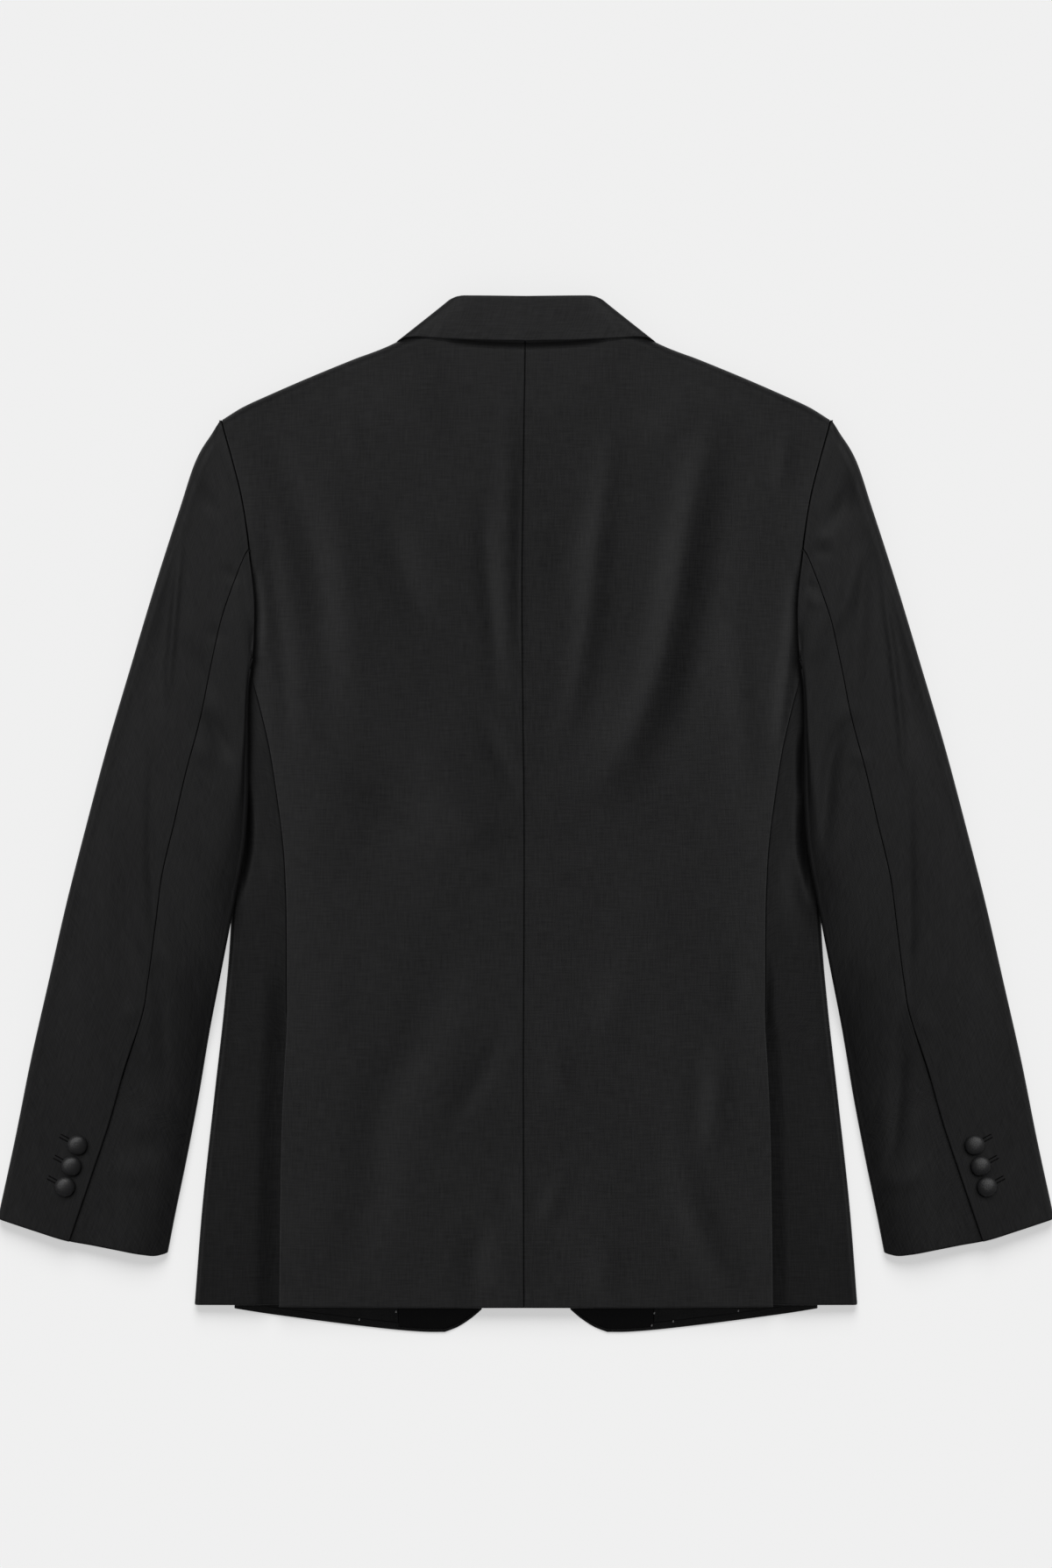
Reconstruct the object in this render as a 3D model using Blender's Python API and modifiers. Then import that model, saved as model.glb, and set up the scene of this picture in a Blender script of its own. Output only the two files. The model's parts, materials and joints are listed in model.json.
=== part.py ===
"""A black dinner jacket lying face down on a floor, its back up.

The frame is X across the jacket, +Y towards the collar and +Z up, away from the floor. The wearer's left
is at -X. All sizes below are in millimetres. Every panel is a wall of cloth: a grid bent over the panel's
outer face, and thickened inwards. A height function says how high the upper layer lies over the floor.
"""

import math

import bmesh
import bpy
import numpy as np

# ------------------------------------------------------------------ driving sizes
MM = 0.001
CLOTH_WALL = 2.0
COLLAR_WALL = 1.8
LINING_WALL = 1.0
SEAM_GAP = 0.3
SHOULDER_GAP = 1.5
HIDDEN_SEAM_GAP = 1.0
ELBOW_GAP = 0.42
LAYER_GAP = 1.0
BUTTON_SEAT = 0.7

EDGE_SOFTNESS = 40.0
SIDE_UNDERLAP = 30.0
VENT_LAP = 18.0
VENT_DIP = CLOTH_WALL + 1.0
SIDE_VENT_TOP = -152.0
CUFF_VENT_TOP = -200.0
INNER_FOLD = 3.2
FOREARM_SEAM_INSET = 25.0
ROLL_RADIUS = 2.4
LAPEL_LIFT = 2.6
BUTTON_LIFT = 4.2
STRIP_TOP = -335.0
STRIP_START = 36.5
FACING_EDGE = 97.0
STRIP_END = 206.0

# ------------------------------------------------------------------ tables: the flat outlines of the right half
# Half width of the body tube, column 2, at the height up the jacket in column 1. Above the armpit it is
# the line that the back would fall to if it went on under the sleeve.
BODY_EDGE = (
    (-373, 252.5), (-300, 246.8), (-220, 238.2), (-140, 229.3), (-107, 226.3), (-60, 224.5), (-20, 226),
    (30, 230), (80, 236), (110, 240), (150, 262), (200, 274), (250, 262), (300, 240),
)
# Height of the middle of the back over the floor, column 2, and the radius of the side fold, column 3.
BODY_HEIGHT = (
    (-375, 9.5, 3.8), (-300, 10.8, 4.0), (-150, 12.5, 4.4), (-60, 14.0, 4.6), (40, 17.0, 4.8),
    (110, 19.0, 5.0), (200, 22.0, 7.0), (280, 23.0, 8.0), (340, 21.5, 8.0), (366, 20.0, 8.0),
)
# Shoulder seam from the neck to the sleeve head: x, y.
SHOULDER = (
    (76, 364.5), (85, 361.8), (92, 359.3), (98, 357.2), (108, 355.0), (132, 346.7), (164.7, 333.3),
    (195.3, 320), (216, 310.4), (231.5, 300.7),
)
# Back armhole seam from the sleeve head to the armpit: x, y.
BACK_ARMHOLE = (
    (231.5, 300.7), (227, 284.7), (222, 266.7), (216, 242.7), (211.5, 215), (208.6, 185), (207.3, 153.3),
    (208.4, 128), (210, 110),
)
# Front armhole, underneath, over the same stretch.
FRONT_ARMHOLE = (
    (231.5, 300.7), (221.5, 276), (211, 240), (204.5, 205), (203.5, 175), (206.5, 148), (208.4, 128),
    (210, 110),
)
# Seam between back and side panel, and the vent's edge below it, from the hem up: x, y.
SIDE_SEAM = (
    (188, -374.5), (187.7, -330), (186.5, -250), (184.5, -200), (182.2, -159), (182.2, -125), (182.2, -90),
    (182.8, -58), (184.8, -23), (189.3, 13), (195.3, 51), (202.7, 83), (210, 110),
)
BACK_NECK = ((0, 364.4), (26, 364.8), (50, 365), (66, 364.9), (76, 364.5))
BACK_HEM = ((0, -375.3), (100, -375.3), (188, -374.5))
# How far the centre-back seam strays from the middle: x at height y.
CENTRE_BACK = ((-375, -1.7), (-200, -2.0), (0, -1.5), (100, -2.6), (175, -3.2), (250, -2.2), (364, -0.6))
# Edge of the front from the hem, round its corner, up to the lapel's break: x, y. Past 0 it laps the other.
FRONT_EDGE = (
    (62, -394.4), (52, -390.5), (43, -384.8), (37, -380), (33.3, -375.3), (27, -345), (14, -270),
    (2, -190), (-8, -120), (-12, -75), (-9, -48),
)
FRONT_ROLL = ((-9, -48), (2, 10), (12, 70), (23.5, 140), (34.5, 205), (42, 250), (50, 276))
FRONT_NECK = ((58.3, 302), (66, 327), (72.5, 348), (75.6, 358), (76, 364.5))
FRONT_HEM = (
    (62, -394.4), (78.7, -394.2), (105.3, -392), (145.3, -387.3), (185.3, -382), (205, -379.2), (222, -376.4),
)
# Lapel from its break up to the gorge: roll line x, y; outer edge x, y.
LAPEL = (
    (1.6, 8, 4.6, 6), (4, 24, 30, 2), (12, 70, 56, 55), (23.5, 140, 82, 118), (34.5, 205, 104, 180),
    (42, 250, 118, 232), (46.2, 274.2, 124, 267),
)
# How far out the lapel and the collar leaf reach under the front: y, x.
UNDER_FRONT = (
    (-60, 6), (2, 32), (55, 58), (118, 84), (180, 106), (232, 120), (267, 126), (300, 116), (370, 112),
)

# Sleeve stations from the armhole to the cuff: outer x, y; inner x, y; crown height; outer fold radius.
SLEEVE = (
    (231.5, 300.7, 210, 110, 23.0, 8.0),
    (250, 273, 211, 80, 23.2, 7.8),
    (263.7, 233.3, 211, 45, 23.2, 7.4),
    (283, 173.3, 211.5, 5, 22.6, 7.0),
    (301, 113.3, 214.5, -30, 22.0, 6.6),
    (318.7, 53.3, 222.5, -72, 21.0, 6.2),
    (334.7, -6.7, 231.5, -118, 19.0, 5.8),
    (350, -66.7, 241, -165, 17.0, 5.4),
    (363.7, -126.7, 249.5, -215, 15.5, 5.0),
    (377.3, -186.7, 258.5, -262, 14.0, 4.8),
    (389.3, -246.7, 267, -303, 13.0, 4.6),
    (402.5, -307.5, 273, -333.5, 12.0, 4.4),
)
SLEEVE_ROWS = (0, 0.15, 0.4, 1, 1.6, 2.2, 2.9, 3.6, 4.3, 5, 5.7, 6.4, 7.1, 7.8, 8.5, 9.2, 9.8, 10.4, 11)
# Elbow seam from above the armhole to the cuff: x, y.
ELBOW_SEAM = (
    (200, 225), (210, 203), (215.3, 193.3), (230, 153.3), (239.3, 113.3), (247.3, 73.3), (258, 33.3),
    (267.3, -6.7), (276.7, -46.7), (282, -86.7), (287.3, -126.7), (292, -153.3), (305.3, -193.3),
    (316.7, -233.3), (330, -273.3), (349.5, -330),
)
# How far the cuff's hem drops below the straight line between its corners: share of the width, drop.
CUFF_DROP = ((0, 0), (0.2, 3.3), (0.42, 6.2), (0.55, 5.8), (0.7, 5.6), (0.85, 5.3), (0.93, 4.2), (1, 0.4))

# Collar stations from the centre back over the neck's side fold to the gorge underneath:
# roll line x, y, z; outer edge x, y, z; neck seam x, y.
COLLAR = (
    (0, 394.0, 24.0, 0, 360.0, 24.4, 0, 364.4),
    (22, 394.2, 24.0, 26, 360.5, 24.2, 24, 364.8),
    (40, 394.4, 23.2, 50, 361.4, 23.4, 46, 365.0),
    (50, 394.6, 21.0, 70, 362.6, 22.0, 60, 365.0),
    (55.5, 393.6, 17.5, 85, 363.6, 19.0, 68, 364.9),
    (58.3, 391.9, 14.0, 93.5, 363.5, 15.5, 73, 364.7),
    (59.5, 390.5, 10.5, 97.3, 361.4, 11.0, 76, 364.5),
    (59.3, 389.3, 7.0, 99.6, 359.4, 6.5, 76.1, 362.0),
    (58.3, 386.5, 3.2, 101.4, 356.0, 2.6, 75.8, 361.0),
    (57.3, 377.0, 0.0, 103.4, 348.5, 0.0, 74.8, 355.0),
    (55.0, 350.0, 0.0, 107.0, 321.0, 0.0, 70.7, 341.0),
    (50.5, 312.0, 0.0, 107.0, 295.0, 0.0, 59.2, 309.2),
    (46.0, 277.2, 0.0, 100.0, 272.6, 0.0, 51.0, 279.0),
)

# ------------------------------------------------------------------ tables: the largest folds
# Each row bends through three places: x, y, then x, y, then x, y, with its half width and its height over
# the cloth round it, below zero for a trough.
BODY_FOLDS = (
    (157, 293, 130, 165, 67, 24, 13, -5.0),
    (63, 262, 58, 165, 32, 58, 11, -2.6),
    (-47, 222, -32, 150, -12, 66, 10, -2.0),
    (-140, 293, -123, 228, -105, 160, 13, -2.2),
    (-152, 205, -141, 150, -120, 90, 12, 1.5),
    (-106, 15, -80, 9, -58, 6, 10, -2.0),
    (-92, -22, -58, -23, -26, -18, 9, 1.5),
    (-27, -87, -80, -122, -113, -173, 14, -2.2),
    (-113, -176, -126, -255, -133, -340, 13, -1.8),
    (-37, -133, -62, -182, -82, -236, 13, 1.5),
    (143, -198, 136, -255, 127, -315, 12, -1.5),
    (27, -165, 43, -250, 60, -340, 12, -1.4),
    (-193, 222, -191, 130, -186, 46, 10, -1.5),
)
SLEEVE_FOLDS = (
    (-262, 222, -271, 127, -281, 18, 8, 1.4),
    (-246, 72, -236, 50, -224, 28, 8, -1.6),
    (-313, -108, -311, -132, -306, -156, 10, -1.6),
    (-300, -228, -293, -250, -285, -276, 10, -1.2),
    (231, 248, 226, 222, 217, 192, 9, -2.0),
    (260, 222, 277, 133, 290, 18, 8, 1.4),
    (242, 155, 236, 132, 229, 110, 8, -1.5),
    (267, 114, 260, 86, 250, 52, 8, -2.0),
    (290, -45, 292, -100, 290, -156, 9, -1.8),
    (281, -178, 279, -222, 277, -268, 9, -1.5),
)

# ------------------------------------------------------------------ tables: buttons
# Centres on the top sleeve: x, y.
CUFF_BUTTONS = ((341.2, -250.9), (345.8, -266.9), (350.6, -282.6))
FRONT_BUTTON = (0, -66)
# Domed covered button: radius, height, from the top of the dome to the middle of its flat back.
CUFF_BUTTON_PROFILE = ((0, 4.2), (3.0, 3.95), (5.6, 3.15), (7.1, 2.0), (7.6, 1.0), (7.1, 0.0), (0, 0))
FRONT_BUTTON_PROFILE = ((0, 3.7), (5.0, 3.5), (8.2, 2.7), (9.8, 1.4), (9.6, 0.5), (8.6, 0.0), (0, 0))
BUTTON_SIDES = 16

# ------------------------------------------------------------------ colours: base colour and roughness
WOOL = ("black_wool", (0.016, 0.016, 0.018), 0.85)
SATIN = ("black_satin", (0.022, 0.022, 0.025), 0.38)
LINING = ("black_lining", (0.010, 0.010, 0.011), 0.5)


def column(table, at, index=1):
    """The numbers of one column of a table, read between its rows by the first column."""
    rows = np.asarray(table, float)
    return np.interp(at, rows[:, 0], rows[:, index])


def ease(share):
    """0 below 0 and 1 above 1, with a smooth step between."""
    share = np.clip(share, 0.0, 1.0)
    return share * share * (3.0 - 2.0 * share)


def spline(table, at):
    """Points on the Catmull-Rom curve through a table's rows, at fractional row numbers."""
    rows = np.asarray(table, float)
    rows = np.vstack([2 * rows[0] - rows[1], rows, 2 * rows[-1] - rows[-2]])
    at = np.clip(np.asarray(at, float), 0, len(table) - 1)
    span = np.minimum(at.astype(int), len(table) - 2)
    u = (at - span)[:, None]
    before, start, end, after = (rows[span + k] for k in range(4))
    return 0.5 * (
        2 * start
        + (end - before) * u
        + (2 * before - 5 * start + 4 * end - after) * u**2
        + (3 * start - before - 3 * end + after) * u**3
    )


def along(table, shares):
    """Points at shares of the length of the curve through a table's rows."""
    dense = spline(table, np.linspace(0, len(table) - 1, 30 * len(table)))
    steps = np.linalg.norm(np.diff(dense, axis=0), axis=1)
    length = np.concatenate([[0.0], np.cumsum(steps)])
    at = np.asarray(shares, float) * length[-1]
    return np.stack([np.interp(at, length, dense[:, k]) for k in range(dense.shape[1])], axis=1)


def patch(bottom, top, left, right, across, up):
    """A panel's flat grid between its four edges: a Coons patch at the shares across and up."""
    edge_bottom, edge_top = along(bottom, across), along(top, across)
    edge_left, edge_right = along(left, up), along(right, up)
    s = np.asarray(across)[None, :, None]
    t = np.asarray(up)[:, None, None]
    corners = (
        (1 - s) * (1 - t) * edge_bottom[0]
        + s * (1 - t) * edge_bottom[-1]
        + (1 - s) * t * edge_top[0]
        + s * t * edge_top[-1]
    )
    sides = (1 - s) * edge_left[:, None] + s * edge_right[:, None]
    return (1 - t) * edge_bottom[None] + t * edge_top[None] + sides - corners


def line_distance(table, x, y):
    """Distance from each place to a line of straight stretches."""
    ends = np.asarray(table, float)
    nearest = np.full(np.shape(x), np.inf)
    for (ax, ay), (bx, by) in zip(ends[:-1], ends[1:]):
        length_squared = (bx - ax) ** 2 + (by - ay) ** 2
        share = np.clip(((x - ax) * (bx - ax) + (y - ay) * (by - ay)) / length_squared, 0, 1)
        nearest = np.minimum(nearest, np.hypot(x - ax - share * (bx - ax), y - ay - share * (by - ay)))
    return nearest


def relief(folds, x, y):
    """Height of the folds at each place: each is a row of soft round dents along a bent line."""
    total = np.zeros(np.shape(x))
    for x0, y0, xm, ym, x1, y1, width, depth in folds:
        length = math.hypot(xm - x0, ym - y0) + math.hypot(x1 - xm, y1 - ym)
        count = 2 + int(length / (0.8 * width))
        line = spline(((x0, y0), (xm, ym), (x1, y1)), np.linspace(0, 2, count))
        share = depth * length / (count - 1) / (width * math.sqrt(2 * math.pi))
        for k, (cx, cy) in enumerate(line):
            taper = math.sin(math.pi * (k + 0.6) / (count + 0.2)) ** 0.7
            total += share * taper * np.exp(-((x - cx) ** 2 + (y - cy) ** 2) / (2 * width**2))
    return total


def edge_rise(distance, radius):
    """Height of a round fold over its middle, at a distance in from its edge."""
    inside = np.clip(distance, 0, radius)
    return np.sqrt(np.maximum(radius**2 - (radius - inside) ** 2, 0))


def body_top(x, y):
    """Height of the outer face of the back and the side panels over the floor."""
    away = np.abs(x)
    middle = column(BODY_HEIGHT, y, 1)
    radius = column(BODY_HEIGHT, y, 2)
    inward = np.minimum(column(BODY_EDGE, y) - away, line_distance(SHOULDER, away, y))
    swell = 1 - np.exp(-np.maximum(inward - radius, 0) / EDGE_SOFTNESS)
    folds = relief(BODY_FOLDS, x, y) * ease(inward / 30)
    return radius + edge_rise(inward, radius) + (middle - 2 * radius) * swell + folds


def front_lift(x, y, over):
    """Height of the front's outer face: over the lapel, the button and, for one side, the other front."""
    away = np.abs(x)
    lapel = ease((column(UNDER_FRONT, y) + 36 - away) / 24) * ease((y + 100) / 40)
    button = ease((70 - np.hypot(x - FRONT_BUTTON[0], 0.7 * (y - FRONT_BUTTON[1]))) / 40)
    lapped = ease((52 - away) / 36) * ease((y + 260) / 60) * ease((80 - y) / 60)
    return np.maximum(LAPEL_LIFT * lapel, BUTTON_LIFT * button) + over * (CLOTH_WALL + 0.5) * lapped


def front_bottom(x, y, over):
    """Height of the front's outer face, with the lower half of the round shoulder edge."""
    radius = column(BODY_HEIGHT, y, 2)
    inward = line_distance(SHOULDER, np.abs(x), y)
    lift = front_lift(x, y, over)
    bend = 1 - edge_rise(inward, radius) / radius
    return lift + (radius - SHOULDER_GAP / 2 - lift) * bend


def sleeve_lift(x, y):
    """Height of the sleeve's underside, where it lies over the body's side and comes down beyond it."""
    away = np.abs(x)
    beside = 1 - ease((away - column(BODY_EDGE, np.minimum(y, 110)) - 5) / 28)
    armpit = ease((166 - y) / 36)
    below = ease((y + 185) / 80)
    body = body_top(np.minimum(away, 222) * np.sign(x), np.minimum(y, 110))
    return (body + LAYER_GAP) * beside * armpit * below


def new_material(name, colour, roughness):
    material = bpy.data.materials.new(name)
    material.use_nodes = True
    shader = material.node_tree.nodes["Principled BSDF"]
    shader.inputs["Base Color"].default_value = (*colour, 1.0)
    shader.inputs["Roughness"].default_value = roughness
    shader.inputs["Metallic"].default_value = 0.0
    return material


def bent_grid(name, grid, wall, faces_up, finish, collection):
    """A cloth panel: a flat grid moved onto the rows of points of its outer face, thickened inwards."""
    row = len(grid) // 2
    across = grid[row, 1] - grid[row, 0]
    up = grid[row + 1, 0] - grid[row, 0]
    if (np.cross(across, up)[2] > 0) != faces_up:
        grid = grid[:, ::-1]
    rows, columns = grid.shape[:2]
    form = bmesh.new()
    bmesh.ops.create_grid(form, x_segments=columns - 1, y_segments=rows - 1, size=1.0)
    for vertex in form.verts:
        i = round((vertex.co.x + 1) / 2 * (columns - 1))
        j = round((vertex.co.y + 1) / 2 * (rows - 1))
        vertex.co = grid[j, i] * MM
    mesh = bpy.data.meshes.new(name)
    form.to_mesh(mesh)
    form.free()
    mesh.shade_smooth()
    mesh.materials.append(finish)
    panel = bpy.data.objects.new(name, mesh)
    collection.objects.link(panel)
    thickness = panel.modifiers.new("cloth", "SOLIDIFY")
    thickness.thickness = wall * MM
    thickness.offset = -1.0
    return panel


def turned_button(name, profile, place, normal, finish, collection):
    """A covered button: its profile turned about its axis, set with its flat back at a place."""
    form = bmesh.new()
    points = [form.verts.new((radius * MM, 0, height * MM)) for radius, height in profile]
    for start, end in zip(points[:-1], points[1:]):
        form.edges.new((start, end))
    mesh = bpy.data.meshes.new(name)
    form.to_mesh(mesh)
    form.free()
    mesh.materials.append(finish)
    button = bpy.data.objects.new(name, mesh)
    collection.objects.link(button)
    turn = button.modifiers.new("turn", "SCREW")
    turn.steps = BUTTON_SIDES
    turn.render_steps = BUTTON_SIDES
    turn.use_merge_vertices = True
    turn.merge_threshold = 1e-5
    button.location = [value * MM for value in place]
    button.rotation_euler = (-math.atan2(normal[1], normal[2]), math.atan2(normal[0], normal[2]), 0)
    return button


def place_on_side(plan, side):
    """A right-half plan grid moved to its own side, bent with the centre-back seam."""
    x, y = plan[..., 0], plan[..., 1]
    stray = column(CENTRE_BACK, y) * np.clip(1 - x / 72, 0, 1)
    return side * x + stray, y


def make_back(side, name, finish, collection):
    """Half of the back: hem, centre-back seam, neck and shoulder, and side seam with armhole."""
    across = np.linspace(0, 1, 17)
    up = np.concatenate([np.linspace(0, 0.972, 28), (0.984, 0.9895, 0.9945, 0.998, 0.9996, 1.0)])
    outer = SIDE_SEAM + tuple(reversed(BACK_ARMHOLE))[1:]
    top = BACK_NECK + SHOULDER[1:]
    middle = ((0, -375.3), (0, -100), (0, 150), (0, 364.4))
    plan = patch(BACK_HEM, top, middle, outer, across, up)
    plan[..., 0] += SEAM_GAP / 2 * (1 - 2 * across[None, :])
    x, y = place_on_side(plan, side)
    z = np.maximum(body_top(x, y), column(BODY_HEIGHT, y, 2) + SHOULDER_GAP / 2)
    bent_grid(name, np.stack([x, y, z], axis=-1), CLOTH_WALL, True, finish, collection)


def make_side_panel(side, name, finish, collection):
    """Side body: from the back's side seam out, round the side fold and under to the front."""
    y = np.linspace(-373.2, 109.7, 19)
    seam_rows = np.asarray(SIDE_SEAM, float)
    seam = np.interp(y, seam_rows[:, 1], seam_rows[:, 0])
    edge = column(BODY_EDGE, y)
    radius = column(BODY_HEIGHT, y, 2)
    lap = VENT_LAP * ease((SIDE_VENT_TOP - y) / 22)
    sunk = ease((SIDE_VENT_TOP + 45 - y) / 22)
    start = seam + SEAM_GAP / 2
    over = [start - lap, start + 3 - 0.6 * lap, start + 6 - 0.2 * lap, start + 11]
    over.append((start + 11 + edge - radius) / 2)
    turn = np.radians((90, 60, 30, 0, -30, -60, -90))
    fold = [edge - radius + radius * math.cos(a) for a in turn]
    under = [edge - SIDE_UNDERLAP / 2, edge - SIDE_UNDERLAP + HIDDEN_SEAM_GAP / 2]
    x = np.stack(over + fold + under, axis=1)
    rows = np.repeat(y[:, None], x.shape[1], axis=1)
    dip = VENT_DIP * sunk[:, None] * (1 - ease((x - start[:, None] - 0.5) / 9))
    z = body_top(side * x, rows) - dip
    first_fold = len(over)
    for k, angle in enumerate(turn):
        if angle < 0:
            z[:, first_fold + k] = radius * (1 + math.sin(angle))
    z[:, first_fold + len(turn):] = 0
    bent_grid(name, np.stack([side * x, rows, z], axis=-1), CLOTH_WALL, True, finish, collection)


def make_front(side, name, over, finish, collection):
    """Front: cut-away edge, lapel roll, neck, shoulder, armhole, side seam and hem, lying face down."""
    across = np.linspace(0, 1, 10)
    up = np.concatenate([np.linspace(0, 0.965, 22), (0.982, 0.989, 0.9945, 0.998, 0.9996, 1.0)])
    heights = np.linspace(-376.4, 109.7, 30)
    inset = SIDE_UNDERLAP + HIDDEN_SEAM_GAP / 2
    seam = tuple((float(column(BODY_EDGE, height)) - inset, float(height)) for height in heights)
    outer = seam + tuple(reversed(FRONT_ARMHOLE))[1:]
    inner = FRONT_EDGE + FRONT_ROLL[1:] + FRONT_NECK
    plan = patch(FRONT_HEM, SHOULDER, inner, outer, across, up)
    above_seam = ease((plan[..., 1] - 100) / 10)
    plan[..., 0] -= SEAM_GAP * across[None, :] * above_seam
    x, y = side * plan[..., 0], plan[..., 1]
    z = front_bottom(x, y, over)
    bent_grid(name, np.stack([x, y, z], axis=-1), CLOTH_WALL, False, finish, collection)


def make_front_inside(side, word, over, facing_finish, lining_finish, collection):
    """Facing and lining on the inside of the front, near the hem, where the back is too short to hide them."""
    hem = along(FRONT_HEM, np.linspace(0, 1, 60))
    edge = along(FRONT_EDGE[:6], np.linspace(0, 1, 60))
    outline = np.vstack([edge[::-1], hem])
    order = np.argsort(outline[:, 0])

    def strip(name, start, end, margin, count, finish):
        x = np.linspace(start, end, count)
        low = np.interp(x, outline[order, 0], outline[order, 1]) + margin
        rows = np.linspace(0, 1, 4)[:, None]
        y = low[None, :] + rows * (STRIP_TOP - low)[None, :]
        x = np.repeat(x[None, :], len(rows), axis=0)
        z = front_bottom(side * x, y, over) + CLOTH_WALL + SEAM_GAP + LINING_WALL
        bent_grid(name, np.stack([side * x, y, z], axis=-1), LINING_WALL, True, finish, collection)

    strip(f"front_facing_{word}", STRIP_START, FACING_EDGE - SEAM_GAP / 2, 2.5, 8, facing_finish)
    strip(f"front_lining_{word}", FACING_EDGE + SEAM_GAP / 2, STRIP_END, 5.5, 8, lining_finish)


def make_lapel(side, name, finish, collection):
    """Lapel: folded out under the front along the roll line, lying on the floor, face down."""
    rows = spline(LAPEL, np.linspace(0, len(LAPEL) - 1, 11))
    share = np.linspace(0, 1, 5)[None, :, None]
    plan = (1 - share) * rows[:, None, 0:2] + share * rows[:, None, 2:4]
    grid = np.dstack([side * plan[..., 0], plan[..., 1], np.zeros(plan.shape[:2])])
    bent_grid(name, grid, COLLAR_WALL, False, finish, collection)


def collar_frame(end):
    """Collar stations from the centre back to both sides' end station: roll, edge, seam, and directions."""
    fine = np.concatenate([np.linspace(0, 2, 3), np.linspace(2.5, 8.5, 13), np.linspace(9, end, 4)])
    half = spline(COLLAR, fine)
    mirrored = half[:0:-1] * np.array((-1, 1, 1, -1, 1, 1, -1, 1))
    whole = np.vstack([mirrored, half])
    roll, edge, seam = whole[:, 0:3].copy(), whole[:, 3:6].copy(), whole[:, 6:8]
    roll[:, 2] = np.maximum(roll[:, 2], 0)
    edge[:, 2] = np.maximum(edge[:, 2], 0)
    across = edge - roll
    across /= np.linalg.norm(across, axis=1)[:, None]
    forward = np.gradient((roll + edge) / 2, axis=0)
    normal = np.cross(across, forward)
    normal /= np.linalg.norm(normal, axis=1)[:, None]
    normal *= np.sign(normal[len(whole) // 2, 2])
    return roll, edge, seam, across, normal


def make_collar_fall(name, finish, collection):
    """Fall of the collar: from its outer edge to the roll line, and curled over it to meet the stand."""
    roll, edge, _, across, normal = collar_frame(12)
    shares = (0.0, 0.3, 0.6, 0.85)
    start = roll + across * ROLL_RADIUS
    section = [edge + (start - edge) * share for share in shares]
    centre = start - normal * ROLL_RADIUS
    for angle in np.radians((0, 30, 60, 90, 110)):
        section.append(centre + ROLL_RADIUS * (normal * math.cos(angle) - across * math.sin(angle)))
    bent_grid(name, np.stack(section, axis=1), COLLAR_WALL, True, finish, collection)


def make_collar_stand(name, finish, collection):
    """Stand of the collar: inside the fall, from the roll line down to the neck seam."""
    roll, _, seam, across, normal = collar_frame(11)
    turning = np.exp(-((normal[:, 2] / 0.8) ** 2))[:, None]
    depth = COLLAR_WALL + 0.7 + 1.2 * turning
    start = roll + across * (ROLL_RADIUS + 1.0 + 5.0 * turning) - normal * depth
    on_top = normal[:, 2] > 0
    top = np.maximum(body_top(seam[:, 0], seam[:, 1]), 8.2)
    below = front_bottom(seam[:, 0], seam[:, 1], 0)
    height = np.where(on_top, top, below)
    middle = np.abs(normal[:, 2]) < 0.6
    height[middle] = np.interp(np.flatnonzero(middle), np.flatnonzero(~middle), height[~middle])
    end = np.column_stack([seam, height])
    inward = start - end
    end = end + inward / np.linalg.norm(inward, axis=1)[:, None] * (HIDDEN_SEAM_GAP + 1.3 * turning)
    section = [start + (end - start) * share for share in (0, 0.34, 0.67, 1)]
    bent_grid(name, np.stack(section, axis=1), COLLAR_WALL, True, finish, collection)


def bow_of(table, shares):
    """How far an armhole bends off the straight line between its ends, at shares along that line."""
    line = along(table, np.linspace(0, 1, 200))
    chord = line[-1] - line[0]
    share = (line - line[0]) @ chord / (chord @ chord)
    off = line - line[0] - share[:, None] * chord
    return np.stack([np.interp(shares, share, off[:, k]) for k in range(2)], axis=-1)


def sleeve_plan(shares, upper):
    """Flat places of a sleeve grid: shares from the outer to the inner edge, one row for each station."""
    station = spline(SLEEVE, SLEEVE_ROWS)
    outer, inner = station[:, None, 0:2], station[:, None, 2:4]
    number = np.asarray(SLEEVE_ROWS, float)[:, None]
    plan = outer + (inner - outer) * shares[..., None]
    bow = np.where(upper[None, :, None], bow_of(BACK_ARMHOLE, shares), bow_of(FRONT_ARMHOLE, shares))
    plan += bow * (np.clip(1 - number / 4, 0, 1) ** 2)[..., None]
    clear = 2 * SEAM_GAP + 1 - ease(shares / 0.06) + 2.0 * ease((shares - 0.7) / 0.15)
    plan[..., 0] += clear * (1 - ease(number / 0.6))
    plan[..., 1] -= column(CUFF_DROP, shares) * ease((number - 9.5) / 1.5)
    return plan


def sleeve_measures():
    """For each station: crown, outer radius, and width square to the outer and to the inner edge."""
    station = spline(SLEEVE, SLEEVE_ROWS)
    outer, inner = station[:, 0:2], station[:, 2:4]
    reach = inner - outer
    widths = []
    for line in (outer, inner):
        way = np.gradient(line, np.asarray(SLEEVE_ROWS, float), axis=0)
        way /= np.linalg.norm(way, axis=1)[:, None]
        widths.append(np.maximum(np.abs(reach[:, 0] * way[:, 1] - reach[:, 1] * way[:, 0]), 60))
    return station[:, 4], station[:, 5], widths[0], widths[1]


def elbow_share():
    """Where the elbow seam crosses each station, as a share from the outer to the inner edge."""
    shares = np.repeat(np.linspace(0, 1, 300)[None, :], len(SLEEVE_ROWS), axis=0)
    plan = sleeve_plan(shares, np.full(300, True))
    seam = np.asarray(ELBOW_SEAM, float)[::-1]
    side = plan[..., 0] - np.interp(plan[..., 1], seam[:, 1], seam[:, 0])
    first = np.argmax(side < 0, axis=1)
    rows = np.arange(len(SLEEVE_ROWS))
    before, after = side[rows, first - 1], side[rows, first]
    return (first - 1 + before / (before - after)) / 299


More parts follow.
